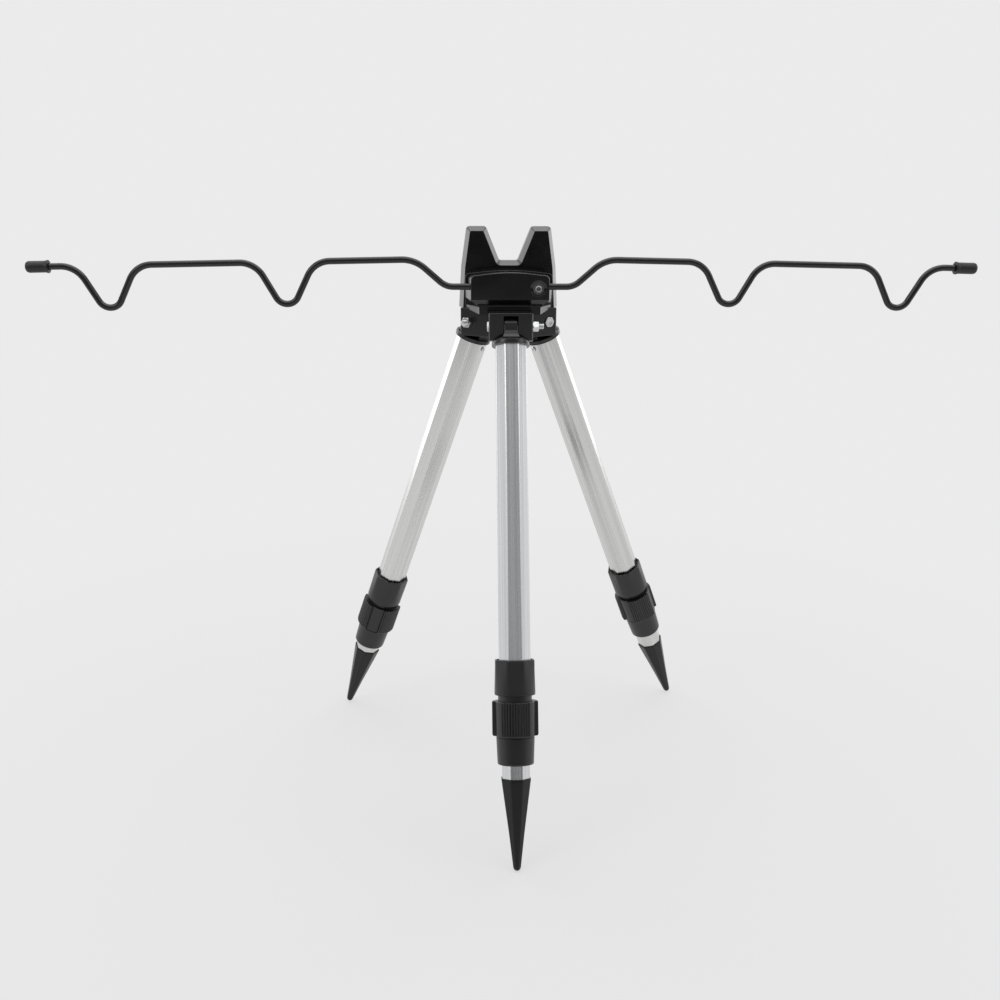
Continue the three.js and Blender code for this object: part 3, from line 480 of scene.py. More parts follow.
def material(name, group, colour, roughness, bump, metallic=0.0, specular=0.5, turned_by=None, **values):
    """One finish: object coordinates, turned to the piece where the pattern follows it, a shared surface
    group and the shader."""
    made = bpy.data.materials.new(name)
    made.use_nodes = True
    tree = made.node_tree
    shader = tree.nodes["Principled BSDF"]
    coords = node(tree, "TexCoord")
    mapping = node(tree, "Mapping")
    tree.links.new(coords.outputs["Object"], mapping.inputs["Vector"])
    if turned_by:
        back = turned_by.inverted()
        mapping.inputs["Rotation"].default_value = back.to_euler()
        mapping.inputs["Location"].default_value = back.translation
    surface = node(tree, "Group", node_tree=group)
    tree.links.new(mapping.outputs["Vector"], surface.inputs["Vector"])
    surface.inputs["Colour"].default_value = (*colour, 1)
    surface.inputs["Roughness"].default_value = roughness
    for label, value in values.items():
        surface.inputs[label.replace("_", " ").capitalize()].default_value = value
    relief = node(tree, "Bump")
    relief.inputs["Strength"].default_value = bump
    relief.inputs["Distance"].default_value = RELIEF_DEPTH
    tree.links.new(surface.outputs["Height"], relief.inputs["Height"])
    tree.links.new(surface.outputs["Colour"], shader.inputs["Base Color"])
    tree.links.new(surface.outputs["Roughness"], shader.inputs["Roughness"])
    tree.links.new(relief.outputs["Normal"], shader.inputs["Normal"])
    shader.inputs["Metallic"].default_value = metallic
    shader.inputs["Specular IOR Level"].default_value = specular
    made.diffuse_color = (*colour, 1)
    return made


MOULDING = moulding_group()
DRAWN = drawn_metal_group()
GLOSS_BLACK = material("gloss black moulding", MOULDING, (0.0042, 0.0042, 0.0044), 0.17, 0.12)
HUB_BLACK = material("hub black moulding", MOULDING, (0.0045, 0.0045, 0.0048), 0.22, 0.2)
LOCK_BLACK = material("lock black moulding", MOULDING, (0.005, 0.005, 0.0055), 0.34, 0.25, grain_size=2200.0,
                      specular=0.55)
SPIKE_BLACK = material("spike black moulding", MOULDING, (0.006, 0.006, 0.0063), 0.34, 0.3, grain_size=1900.0,
                       specular=0.3, scuffs=0.6)
CAP_VINYL = material("soft cap vinyl", MOULDING, (0.008, 0.008, 0.0083), 0.42, 0.3, grain_size=1500.0,
                     specular=0.4)
WIRE_COAT = material("black wire coat", MOULDING, (0.003, 0.003, 0.003), 0.22, 0.1, grain_size=900.0)
ZINC = material("bright zinc plate", DRAWN, (0.74, 0.745, 0.74), 0.26, 0.25, metallic=1.0, streaks=0.35)
GREY_STEEL = material("grey steel", DRAWN, (0.36, 0.36, 0.365), 0.3, 0.25, metallic=1.0, streaks=0.35)
BRASS = material("blackened brass", DRAWN, (0.02, 0.017, 0.012), 0.35, 0.25, metallic=1.0, streaks=0.3)
# Painted shade: the two rear legs' aluminium is set darker than the front leg's, for how the light falls on
# them, though all three are the same metal
TUBE_TONE_AND_PAINTED_SHADE = {"front": (0.86, 0.87, 0.88), "right": (0.80, 0.795, 0.78), "left": (0.80, 0.795, 0.78)}
TUBE = {leg: material(f"{leg} drawn aluminium", DRAWN, TUBE_TONE_AND_PAINTED_SHADE[leg], 0.25, 0.25, metallic=1.0, streaks=0.5,
                      turned_by=leg_frame(leg) @ MM.inverted()) for leg in LEGS}


# Leg pieces, in the leg's frame: X along the hinge bolt, -Z down the leg, -Y outwards

TUBE_FLATS, TUBE_WALL, TUBE_ROOM = 25, 0.9, 25.6
STEM_FLATS, STEM_WALL, STEM_ROOM = 21.6, 1, 22.2
TUBE_TOP, TUBE_END = -15.4, -289.78
CAP_SCREW_DOWN = -22
COLLAR_TOP, COLLAR_STEP, COLLAR_RIM, COLLAR_END = -270.48, -290.08, -298.28, -311.28
KNOB_TOP, KNOB_CHAMBER, KNOB_LOW, KNOB_MOUTH, KNOB_END = -303.08, -311.58, -330.2, -348.28, -352.28
STEM_LENGTH = 297.98
SPIKE_LENGTH, SPIKE_TIP, SPIKE_RIM = 71.4, 3, 0.35

def octagon_tube(name, flats, wall, low, high, corner):
    outer, inner = octagon(flats, corner), octagon(flats - wall * 2, max(corner - wall, 0.2))
    return lofted(name, [(outer, low), (outer, high), (inner, high), (inner, low)], pipe=True)


def leg_cap(leg):
    """A tongue with rounded edges on a round skirt; at the front its foot flares out to the skirt."""
    skirt = turned(f"{leg}_cap_moulding", [
        (0, -16.9), (15.1, -16.9), (15.4, -16.8), (15.5, -16.5), (15.5, -14.0), (15.4, -13.55), (15.1, -13.25),
        (14.6, -13.1), (0, -13.1)], 96)
    half, foot = 5.7, -14.9
    tongue = [(-8.5, foot), (8.5, foot), (8.5, 8.5, 8.49), (-8.5, 8.5, 8.49)]
    sides = [(inset(tongue, drawn, 16), across - half) for drawn, across in eased(0.9)]
    sides += [(points, -across) for points, across in reversed(sides)]
    blade = apply_matrix(lofted("tongue", sides), ACROSS)
    sweep = []
    for degrees in (0, 10, 22, 35, 48, 62, 76, 90):
        spread_out = 1 - math.sin(math.radians(degrees))
        wide, out = 5.4 + 7.8 * spread_out, 9.0 + 5.6 * spread_out
        corner = 0.3 + 2.4 * spread_out
        points = [(-wide, -out, corner), (wide, -out, corner), (wide, -8.8),
                  (5.3, -8.8), (5.3, -7.6), (-5.3, -7.6), (-5.3, -8.8), (-wide, -8.8)]
        sweep.append((rounded(points), -13.3 + 8.0 * (1 - math.cos(math.radians(degrees)))))
    flare = lofted("flare", sweep)
    limit = turned("flare limit", [(0, -20), (15.0, -20), (15.0, 0), (0, 0)], 96)
    flare = combined(flare, [limit], "INTERSECT")
    socket_hole = lofted("socket", [(octagon(TUBE_ROOM, 1.4), z) for z in (-24, -15.1)])
    plug = octagon_tube("plug", 22.6, 2.2, -39.1, -14.5, 0.8)
    bolt_hole = along_x(turned("bolt hole", [(0, -10), (BOLT_HOLE, -10), (BOLT_HOLE, 10), (0, 10)], 32))
    cap = cut(welded(skirt, blade, flare), socket_hole)
    cap = cut(welded(cap, plug), bolt_hole)
    softened(cap)
    fitted(cap, leg_frame(leg), f"{leg}_leg", f"{leg}_leg_cap", HUB_BLACK)


def outer_tube(leg):
    tube = octagon_tube(f"{leg}_drawn_tube", TUBE_FLATS, TUBE_WALL, TUBE_END, TUBE_TOP, 1.5)
    hole = moved(along_y(turned("screw hole", [(0, 0), (1.5, 0), (1.5, 25), (0, 25)], 24)), z=CAP_SCREW_DOWN)
    softened(cut(tube, hole))
    fitted(tube, leg_frame(leg), f"{leg}_leg", f"{leg}_outer_tube", TUBE[leg])


def tube_screw(leg):
    """A small domed screw with a cross recess, at the back of the tube's top."""
    head = turned(f"{leg}_tube_screw", [(0, -5), (1.2, -5), (1.2, 0), (2.2, 0), (2.2, 0.15), (1.95, 0.5),
                                        (1.5, 0.75), (0.8, 0.88), (0, 0.9)], 32)
    long, short = (-1.1, 1.1), (-0.22, 0.22)
    slots = [block("slot", x, y, (0.35, 2)) for x, y in ((long, short), (short, long))]
    screw = softened(cut(head, *slots))
    screw = moved(along_y(screw), y=12.8, z=CAP_SCREW_DOWN)
    fitted(screw, leg_frame(leg), f"{leg}_leg", f"{leg}_cap_screw", ZINC)


def lock_collar(leg):
    """Round at its lower rim, eight-sided with a thin rim round the tube at its top."""
    def between(share):
        return [(a[0] + (b[0] - a[0]) * share, a[1] + (b[1] - a[1]) * share)
                for a, b in zip(circle(16.35), octagon(31.2, 3.2))]
    skin = [(between(s), -297.4 + 25.9 * t) for s, t in
            ((0, 0), (0.1, 0.15), (0.25, 0.3), (0.45, 0.5), (0.7, 0.7), (0.9, 0.85), (1, 1))]
    neck = 13.5
    sections = [
        (circle(neck), COLLAR_END), (circle(neck), COLLAR_RIM), (circle(15.7), COLLAR_RIM),
        (circle(16.15), -298.0), *skin, (octagon(30.9, 3.1), -270.8), (octagon(30.3, 2.8), COLLAR_TOP),
        (octagon(28.6, 2.2), COLLAR_TOP), (octagon(28.2, 2.0), -270.8), (octagon(28.0, 2.0), -272.98),
        (octagon(TUBE_ROOM, 1.4), -273.2),
        (octagon(TUBE_ROOM, 1.4), COLLAR_STEP), (octagon(STEM_ROOM, 0.6), COLLAR_STEP),
        (octagon(STEM_ROOM, 0.6), COLLAR_END),
    ]
    collar = softened(lofted(f"{leg}_collar_moulding", sections, pipe=True), smooth=24)
    fitted(collar, leg_frame(leg), f"{leg}_leg", f"{leg}_lock_collar", LOCK_BLACK)


WINGS, WING_SPAN, WING_RIBS, WING_EDGE = 3, math.radians(81), 12, math.radians(1.7)
KNOB_POINTS = 432


def wing_outline(twist, core, wing, rib=0.8):
    """A round core with three ribbed wings; each rib is as high as given."""
    def radius_at(angle):
        turn = (angle - twist + math.pi / WINGS) % (math.tau / WINGS) - math.pi / WINGS
        edge = (WING_SPAN / 2 - abs(turn)) / WING_EDGE
        if edge <= 0 or wing <= core:
            return core
        share = (turn / WING_SPAN + 0.5) * WING_RIBS % 1
        valley = rib * (1 - math.sin(math.pi * share) ** 0.7)
        return core + max(wing - core - valley, 0) * min(edge, 1)
    return ring_points(radius_at, KNOB_POINTS)


def lock_knob(leg, twist):
    """A smooth core with three ribbed wings on a dark neck and a plain nose."""
    edge = 1.5
    low_end = []
    for degrees in (5, 25, 45, 65, 90):
        angle = math.radians(degrees)
        drawn, up = edge * (1 - math.sin(angle)), edge * (1 - math.cos(angle))
        low_end.append((wing_outline(twist, 15.9, 18.4 - drawn, 0.8 - 0.3 * drawn), KNOB_LOW + up))
    outside = [(13.6, KNOB_END), (14.1, -352.1), (14.4, -351.6), (14.45, -350.9), (15.25, -331.7),
               (15.15, -331.4), (14.6, -331.2), (14.6, -330.4), (15.5, -330.25)]
    wings = [(wing_outline(twist, core, wing), z) for core, wing, z in
             ((16.2, 18.4, -303.9), (16.0, 18.15, -303.35), (15.7, 17.7, KNOB_TOP))]
    bore = [(13.8, KNOB_TOP), (13.8, KNOB_CHAMBER), (13.2, KNOB_CHAMBER), (13.2, -345.3)]
    mouth = [(octagon(STEM_ROOM, 0.6, KNOB_POINTS), z) for z in (KNOB_MOUTH, KNOB_END)]
    sections = [
        *((circle(radius, KNOB_POINTS), z) for radius, z in outside), *low_end, *wings,
        *((circle(radius, KNOB_POINTS), z) for radius, z in bore), *mouth,
    ]
    knob = softened(lofted(f"{leg}_ribbed_knob", sections, pipe=True), smooth=28)
    fitted(knob, leg_frame(leg), f"{leg}_knob", f"{leg}_lock_knob", LOCK_BLACK)


def inner_tube(leg, foot):
    tube = softened(octagon_tube(f"{leg}_stem_tube", STEM_FLATS, STEM_WALL, 0.3, STEM_LENGTH, 1.3))
    fitted(tube, foot, f"{leg}_foot", f"{leg}_inner_tube", TUBE[leg])


def foot_spike(leg, foot):
    """An eight-sided cone on a rounded point, with a thin rim round the tube."""
    tip = [(octagon(SPIKE_TIP * 2 * math.sin(a), 2.9 * math.sin(a)),
            -SPIKE_LENGTH + SPIKE_TIP * (1 - math.cos(a)))
           for a in (math.radians(d) for d in (6, 20, 35, 50, 65, 80))]
    sections = [
        *tip, (octagon(6.2, 1.6), -67.9), (octagon(12, 1.4), -43), (octagon(22.8, 1.1), -2.0),
        (octagon(23.1, 1.0), -1.3), (octagon(23.1, 1.0), 0.1), (octagon(22.8, 0.9), SPIKE_RIM),
        (octagon(22.2, 0.8), SPIKE_RIM), (octagon(22.1, 0.8), 0.0), (octagon(19, 0.8), 0.0),
        (octagon(19, 0.8), 21.6), (octagon(18.4, 0.8), 22), (octagon(14.4, 0.8), 22), (octagon(14.4, 0.8), -10),
    ]
    spike = softened(lofted(f"{leg}_spike_moulding", sections), smooth=24)
    fitted(spike, foot, f"{leg}_foot", f"{leg}_foot_spike", SPIKE_BLACK)


HEX_POINTS = 96


def hex_points(flats):
    def radius_at(angle):
        return flats / 2 / math.cos((angle + math.pi / 6) % (math.pi / 3) - math.pi / 6)
    return ring_points(radius_at, HEX_POINTS)


def chamfered(points, radius):
    """The outline held inside a circle."""
    return [(x * min(1, radius / math.hypot(x, y)), y * min(1, radius / math.hypot(x, y))) for x, y in points]


def pivot_bolt(leg):
    """Hexagon head, shank and a threaded tail that ends in a small chamfer."""
    hexagon = hex_points(BOLT_HEX)
    head = lofted(f"{leg}_pivot_bolt", [
        (chamfered(hexagon, 3.85), -19.3), (chamfered(hexagon, 4.15), -19.2), (chamfered(hexagon, 4.4), -18.95),
        (hexagon, -18.6), (hexagon, -16.0), (chamfered(hexagon, 4.3), -15.8),
    ])
    dish = turned("head dish", [(0, -19.15), (2.6, -19.2), (3.0, -19.5), (0, -19.5)], 48)
    head = cut(head, dish)
    start, turns, pitch = 15.0, 15, 0.82
    profile = [(0, -16.5), (2.3, -16.5), (2.3, start)]
    for step in range(turns):
        at = start + step * pitch
        profile += [(2.45, at + 0.12), (2.45, at + 0.26), (2.08, at + 0.54), (2.08, at + 0.64)]
    profile += [(2.0, 27.2), (0, 27.4)]
    shank = turned("shank", profile, 40)
    bolt = softened(welded(head, shank), smooth=38)
    fitted(along_x(bolt), fork_frame(leg), "head", f"{leg}_hinge_bolt", ZINC)


def pivot_nut(leg):
    hexagon = hex_points(BOLT_HEX)
    bore, mouth = circle(BOLT_HOLE, HEX_POINTS), circle(3.1, HEX_POINTS)
    nut = lofted(f"{leg}_pivot_nut", [
        (chamfered(hexagon, 4.1), 18.3), (hexagon, 18.75), (hexagon, 22.5), (chamfered(hexagon, 4.3), 22.75),
        (chamfered(hexagon, 4.0), 23.0), (mouth, 23.0), (bore, 22.7), (bore, 18.5), (mouth, 18.3),
    ], pipe=True)
    fitted(along_x(softened(nut)), fork_frame(leg), "head", f"{leg}_hinge_nut", ZINC)


# Head pieces, in the hub's frame

HUB_LOW, HUB_HIGH = -11.7, 11.5


def hub():
    """Three forks in one moulding; each has a slot, a bolt hole, a pocket for the bolt's head and a stop."""
    plan = [(-18, 5), (-18, -37.5, 2), (18, -37.5, 2), (18, 5)]
    edges = [(inset(plan, drawn), HUB_LOW + back) for drawn, back in eased(0.8)]
    edges += [(inset(plan, 0), HUB_HIGH - 0.2), (inset(plan, 0.2), HUB_HIGH)]
    body = welded(*[apply_matrix(lofted("hub_moulding", edges), facing(leg)) for leg in LEGS])
    for leg, (_, splay) in LEGS.items():
        level = facing(leg) @ Matrix.Translation((0, -PIVOT_OUT, 0))
        tilted = level @ Matrix.Rotation(-math.radians(splay), 4, "X")
        pocket = along_x(lofted("pocket", [(hex_points(8.6), -24), (hex_points(8.6), -15.5)]))
        hole = along_x(turned("hole", [(0, -24), (BOLT_HOLE, -24), (BOLT_HOLE, 24), (0, 24)], 32))
        slot = block("slot", (-6, 6), (-24, 9.3), (-17, 9.3))
        stop = block("stop", (-24, 24), (-24, 24), (-38, -12.8))
        for tool, place in ((slot, level), (hole, level), (pocket, level), (stop, tilted)):
            cut(body, apply_matrix(tool, place))
    for x, y in HUB_SCREWS.values():
        hole = [(0, -14), (3.8, -14), (3.8, -5.7), (2.2, -5.7), (2.2, 14), (0, 14)]
        cut(body, moved(turned("screw hole", hole, 32), x=x, y=y))
    softened(body)
    fitted(body, HEAD_FRAME, "head", "hub", HUB_BLACK)


REST_HALF = 41.8
REST = [(REST_HALF, 0), (40.0, 33, 12), (35.4, 65.9, 3.0), (19.1, 65.9, 3.0), (7.7, 38.0, 2.2),
        (-7.7, 38.0, 2.2), (-19.1, 65.9, 3.0), (-35.4, 65.9, 3.0), (-40.0, 33, 12), (-REST_HALF, 0)]
REST_FOOT = 0.25
SIDE_SLOPE = (REST_HALF - 40.0) / 33


def rest_outline(draft):
    """The rest's outline drawn in by the draft; its foot stays on the hub."""
    points = [(x, z + SEAT, *own) for x, z, *own in REST]
    low = REST_FOOT + draft
    for i, side in ((0, 1), (-1, -1)):
        points[i] = (side * (REST_HALF + low * SIDE_SLOPE), SEAT - low)
    return inset(points, draft, 8, 1.4)


def notched_rest():
    """The front moulding: a flat face inside a border that is the drafted wall."""
    sections = [(17.25, 0.35), (16.95, 0.06), (16.8, 0), (13.4, 0), (12.9, 0.05), (12.3, 0.25), (4.5, 3.2),
                (4.2, 3.35), (4.05, 3.6), (4, 3.95)]
    body = softened(lofted("rest_moulding", [(rest_outline(draft), -y) for y, draft in sections]))
    fitted(body, STANDING, "head", "rest_body", GLOSS_BLACK)


def rest_cover():
    sections = [(22 - back, drawn) for drawn, back in eased(1.0)] + [(17.6, 0), (17.45, 0.06), (17.28, 0.35)]
    cover = lofted("rest_cover_moulding", [(rest_outline(draft), -y) for y, draft in sections])
    for x, z in ((-EAR_SCREW_X, EAR_SCREW_Z), (EAR_SCREW_X, EAR_SCREW_Z),
                 (-HOUSING_SCREW_X, ARM_Z), (HOUSING_SCREW_X, ARM_Z)):
        well = turned("well", [(0, -23), (3.8, -23), (3.8, -19), (0, -19)], 40)
        cut(cover, moved(well, x=x, y=z))
    softened(cover)
    fitted(cover, STANDING, "head", "rest_rear_cover", GLOSS_BLACK)


HOUSING_FRONT, HOUSING_BACK = -21, 3.7
CHIN_BEND = -16.5
RIM_STAND = 2.1


def housing_outline(y, drawn, wall=0.0):
    """Front view of the housing at a depth: arched top, upright sides, and a chin that is narrower in front.
    Above the arms the wall leaves a rim at the back, by as much as it stands in."""
    share = (y - HOUSING_FRONT) / (HOUSING_BACK - HOUSING_FRONT)
    side = 32.3 + 4.5 * share
    upper, low_shoulder = side - wall * share, 28.3 + 3.9 * share - wall * share
    shoulder_z = 28.3 + SEAT - wall * share / 2
    front_part = min(y - HOUSING_FRONT, CHIN_BEND - HOUSING_FRONT) / (CHIN_BEND - HOUSING_FRONT)
    chin = 25.0 + 0.5 * front_part + 10.9 * max(y - CHIN_BEND, 0) / (HOUSING_BACK - CHIN_BEND)
    right = [(chin, 4), (chin, 14.4, 1.5), (side, 20.2, 1.5), (side, 27.6), (upper, 28.8),
             (upper, shoulder_z, 4)]
    shares = [1 - step / 8 for step in range(1, 16)]
    arch = [(low_shoulder * across, shoulder_z + 2.5 * (1 - across ** 2)) for across in shares]
    return inset([*right, *arch, *[(-x, z, *own) for x, z, *own in reversed(right)]], drawn)


def clamp_housing():
    """Drafted moulding with rounded edges, a chamfered foot over the chin and a dish round the clamp screw."""
    stations = [(3.2, 0), (-13, 0), (CHIN_BEND, 0)]
    stations += [(HOUSING_FRONT + back, drawn) for drawn, back in reversed(eased(0.95))]
    body = lofted("housing_moulding", [(housing_outline(y, drawn, RIM_STAND), -y) for y, drawn in stations])
    rim = [(HOUSING_BACK, 0)] + [(2.4 + back, drawn) for drawn, back in reversed(eased(0.6))]
    welded(body, lofted("rim", [(housing_outline(HOUSING_BACK, drawn), -y) for y, drawn in rim]))
    apply_matrix(body, STAND)
    under_face = rounded([(-26, 25.76), (-26, 0), (-17.4, 0), (-17.4, 15.3, 1.1), (-16.6, 15.8, 0.15)])
    under_chin = [(-20, 7.6), (-20, -2), (6, -2), (6, 12.0)]
    for points in (under_face, under_chin):
        cut(body, apply_matrix(lofted("below", [(points, -45), (points, 45)]), ACROSS))
    hub_room = [(-18.3, 5), (-18.3, -37.8), (18.3, -37.8), (18.3, 5)]
    for leg in LEGS:
        cut(body, apply_matrix(lofted("room for the hub", [(hub_room, -12), (hub_room, 11.75)]), facing(leg)))
    inner = [(-29.9, 23.3), (29.9, 23.3), (29.9, 37.9), (-29.9, 37.9)]
    hollow = lofted("hollow", [([(x * 1.139, z) for x, z in inner], -5), (inner, 18.6)])
    dish = [(0, 20.3), (4.3, 20.3), (5.3, 20.42), (6.2, 20.68), (6.9, 20.98), (7.3, 21.2), (7.4, 22), (0, 22)]
    well = [(0, 17), (3.85, 17), (3.85, 20.9), (0, 20.9)]
    for tool in (hollow, moved(turned("dish", dish, 64), x=CLAMP_X, y=CLAMP_Z),
                 moved(turned("well", well, 48), x=CLAMP_X, y=CLAMP_Z)):
        cut(body, apply_matrix(tool, STAND))
    arm_hole = along_x(turned("arm hole", [(0, -45), (ARM_ROOM, -45), (ARM_ROOM, 45), (0, 45)], 40))
    cut(body, moved(arm_hole, y=ARM_Y, z=ARM_Z))
    softened(body)
    fitted(body, HEAD_FRAME, "head", "clamp_housing", GLOSS_BLACK)


def set_screw():
    """Clamp screw end with a hexagon socket."""
    body = turned("clamp_set_screw", [(0, 16.8), (2.4, 16.8), (2.9, 17.2), (2.9, 21.0), (2.7, 21.4),
                                      (2.3, 21.6), (2.0, 21.5), (0, 21.5)], 48)
    key = hex_points(3)
    hollow = lofted("hex", [(chamfered(key, 0.4), 18.6), (key, 19.6), (key, 22)])
    screw = moved(softened(cut(body, hollow)), x=CLAMP_X, y=CLAMP_Z)
    fitted(screw, STANDING, "clamp_screw", "clamp_screw", GREY_STEEL)


def pan_screw(length):
    """A screw with a rounded head and a cross recess, head towards +Z."""
    body = turned("pan screw", [(0, -length), (1.9, -length + 0.6), (1.9, 0), (3.5, 0), (3.5, 0.5), (3.4, 1.1),
                                (3.05, 1.8), (2.4, 2.35), (1.4, 2.63), (0, 2.7)], 40)
    arms = []
    for x, y in ((2.1, 0.5), (0.5, 2.1)):
        arm = [(-x, -y), (x, -y), (x, y), (-x, y)]
        low_arm = [(a * 0.45, b * 0.45) for a, b in arm]
        arms.append(lofted("recess", [(low_arm, 1.2), (arm, 3.0)]))
    return softened(cut(body, *arms))


def head_screws():
    """Two short and two long screws from behind, and three from below the hub."""
    to_back = Matrix.Rotation(-math.pi / 2, 4, "X")
    downwards = Matrix.Rotation(math.pi, 4, "X")
    ears = [(f"ear_screw_{hand}", (side * EAR_SCREW_X, 19.3, EAR_SCREW_Z)) for hand, side in HANDS]
    long_ones = [(f"housing_screw_{hand}", (side * HOUSING_SCREW_X, 19.3, ARM_Z)) for hand, side in HANDS]
    below = [(name, (*place, -6.0)) for name, place in HUB_SCREWS.items()]
    groups = ((11, ears, to_back), (26, long_ones, to_back), (24, below, downwards))
    for length, screws, turn in groups:
        pattern = pan_screw(length)
        for name, place in screws:
            matrix = HEAD_FRAME @ Matrix.Translation(place) @ turn
            fitted(copied(pattern, f"{name}_head"), matrix, "head", name, ZINC)
        bpy.data.objects.remove(pattern, do_unlink=True)


# Bent wire arms, in the plane through their shanks

def arm_stations():
    """The wire's line as points and headings: a shank, a rise, two V bends between level stretches, an end."""
    rise, droop, vee = math.radians(41), math.radians(1.2), math.radians(62)
    low, high, shoulder, bottom = 17, 28, 21, 10
    start, shank, rise_height, vee_depth = 4, 42.5, 21.6, 33.7
    first_vee, vee_spacing, tail = 183.4, 143.3, 60.5
    bends = low * (1 - math.cos(rise)) + high * (math.cos(droop) - math.cos(rise))
    climb = (rise_height - bends) / math.sin(rise)
    rise_end = start + shank + (low + high) * math.sin(rise) + climb * math.cos(rise) + high * math.sin(droop)
    side = (vee_depth - (shoulder + bottom) * (1 - math.cos(vee))) / math.sin(vee)
    half = (shoulder + bottom) * math.sin(vee) + side * math.cos(vee)
    notch = [(-vee, shoulder), side, (2 * vee, bottom), side, (-vee, shoulder)]
    moves = [shank, (rise, low), climb, (-rise - droop, high), first_vee - half - rise_end, *notch,
             vee_spacing - 2 * half, *notch, tail - half]
    at, heading = Vector((start, 0)), 0.0
    stations = [(at.copy(), heading)]
    for move in moves:
        bend, radius = move if isinstance(move, tuple) else (0, 0)
        steps = math.ceil(abs(bend) / math.radians(3)) or 1
        for _ in range(steps):
            length = 2 * radius * math.sin(abs(bend) / steps / 2) if bend else move
            chord = heading + bend / steps / 2
            at = at + Vector((math.cos(chord), math.sin(chord))) * length
            heading += bend / steps
            stations.append((at.copy(), heading))
    return stations


def rest_arm(hand, turn, stations):
    """The wire as a curve of round section, made a mesh and closed at both ends."""
    line = bpy.data.curves.new(f"{hand}_wire", "CURVE")
    line.dimensions = "3D"
    line.bevel_depth = WIRE
    line.bevel_resolution = 7
    line.use_fill_caps = True
    spline = line.splines.new("POLY")
    spline.points.add(len(stations) - 1)
    for point, (at, _) in zip(spline.points, stations):
        point.co = (at.x, 0, at.y, 1)
    wire = bpy.data.objects.new(f"{hand}_wire", line)
    bpy.context.collection.objects.link(wire)
    only(wire)
    bpy.ops.object.convert(target="MESH")
    wire = bpy.context.object
    edit(wire)
    tidy_surface()
    bpy.ops.object.mode_set(mode="OBJECT")
    softened(wire, smooth=40)
    place = HEAD_FRAME @ Matrix.Translation((0, ARM_Y, ARM_Z)) @ Matrix.Rotation(turn, 4, "Z")
    fitted(wire, place, f"{hand}_arm", f"{hand}_rest_arm", WIRE_COAT)
    end, heading = stations[-1]
    depth, bore = 15.4, 2.75
    cap = turned(f"{hand}_wire_cap", [
        (0, depth), (bore, depth), (bore, 0.2), (3.0, 0), (4.9, 0), (5.2, 0.25), (5.25, 0.8), (5.05, 1.7),
        (4.75, 2.5), (4.7, 3.2), (4.72, 9), (4.75, 15.0), (4.6, 16.2), (4.15, 17.2), (3.4, 17.85), (2.2, 18.15),
        (0, 18.2)], 48)
    start = end - depth * Vector((math.cos(heading), math.sin(heading)))
    place = place @ Matrix.Translation((start.x, 0, start.y)) @ Matrix.Rotation(math.pi / 2 - heading, 4, "Y")
    fitted(softened(cap), place, f"{hand}_arm", f"{hand}_arm_cap", CAP_VINYL)


for leg, twist in KNOB_TWISTS.items():
    foot = leg_frame(leg) @ Matrix.Translation((0, 0, -FOOT_DROPS[leg]))
    leg_cap(leg)
    outer_tube(leg)
    tube_screw(leg)
    lock_collar(leg)
    lock_knob(leg, math.radians(twist))
    inner_tube(leg, foot)
    foot_spike(leg, foot)
    pivot_bolt(leg)
    pivot_nut(leg)
hub()
notched_rest()
rest_cover()
clamp_housing()
set_screw()
head_screws()
wire_line = arm_stations()
rest_arm("right", 0, wire_line)
rest_arm("left", math.pi, wire_line)

# What stays as the frame has it, mostly inside
for names, finish in (
    ([f"{leg}_{inside}" for leg in LEGS for inside in ("collet", "guide_bush")] + ["clamp_cradle"], LOCK_BLACK),
    (["pressure_plate"], ZINC),
    (["clamp_insert"], BRASS),
):
    for name in names:
        slots = frame["nodes"][name].data.materials
        for i in range(len(slots)):
            slots[i] = finish


# Floor, light and camera

PALE = (0.831, 0.831, 0.831, 1)


def blank(owner, output):
    """The owner's node tree with nothing in it but its output node."""
    owner.use_nodes = True
    owner.node_tree.nodes.clear()
    return owner.node_tree, node(owner.node_tree, output)


def blended(tree, out, factor, first, second):
    """The mix of two shaders, as the whole surface."""
    mix = node(tree, "MixShader")
    for i, source in enumerate((factor, first.outputs[0], second.outputs[0])):
        tree.links.new(source, mix.inputs[i])
    tree.links.new(mix.outputs[0], out.inputs["Surface"])


def floor():
    """Takes the light and soft shadows near the legs and fades to the plain ground's tone further out."""
    ground = added("floor", bpy.ops.mesh.primitive_circle_add, vertices=96, radius=12, fill_type="NGON")
    made = bpy.data.materials.new("pale floor")
    tree, out = blank(made, "OutputMaterial")
    lit = node(tree, "BsdfDiffuse")
    lit.inputs["Color"].default_value = (0.80, 0.80, 0.80, 1)
    plain = node(tree, "Emission")
    plain.inputs["Color"].default_value = PALE
    plain.inputs["Strength"].default_value = 1
    coords = node(tree, "TexCoord")
    length = node(tree, "VectorMath", operation="LENGTH")
    tree.links.new(coords.outputs["Object"], length.inputs[0])
    blended(tree, out, spread(tree, length.outputs["Value"], 0.15, 0.8, 0.7), lit, plain)
    ground.data.materials.append(made)


def world():
    """The pale ground's tone where it is seen, and a weaker fill as light."""
    sky = bpy.data.worlds.new("studio")
    bpy.context.scene.world = sky
    tree, out = blank(sky, "OutputWorld")
    seen = node(tree, "Background")
    seen.inputs["Color"].default_value = PALE
    fill = node(tree, "Background")
    fill.inputs["Color"].default_value = (1, 1, 1, 1)
    fill.inputs["Strength"].default_value = 0.3
    rays = node(tree, "LightPath")
    shown = math_node(tree, "MAXIMUM", rays.outputs["Is Camera Ray"], rays.outputs["Is Glossy Ray"])
    shown = math_node(tree, "MAXIMUM", shown, rays.outputs["Is Transmission Ray"])
    blended(tree, out, shown, fill, seen)


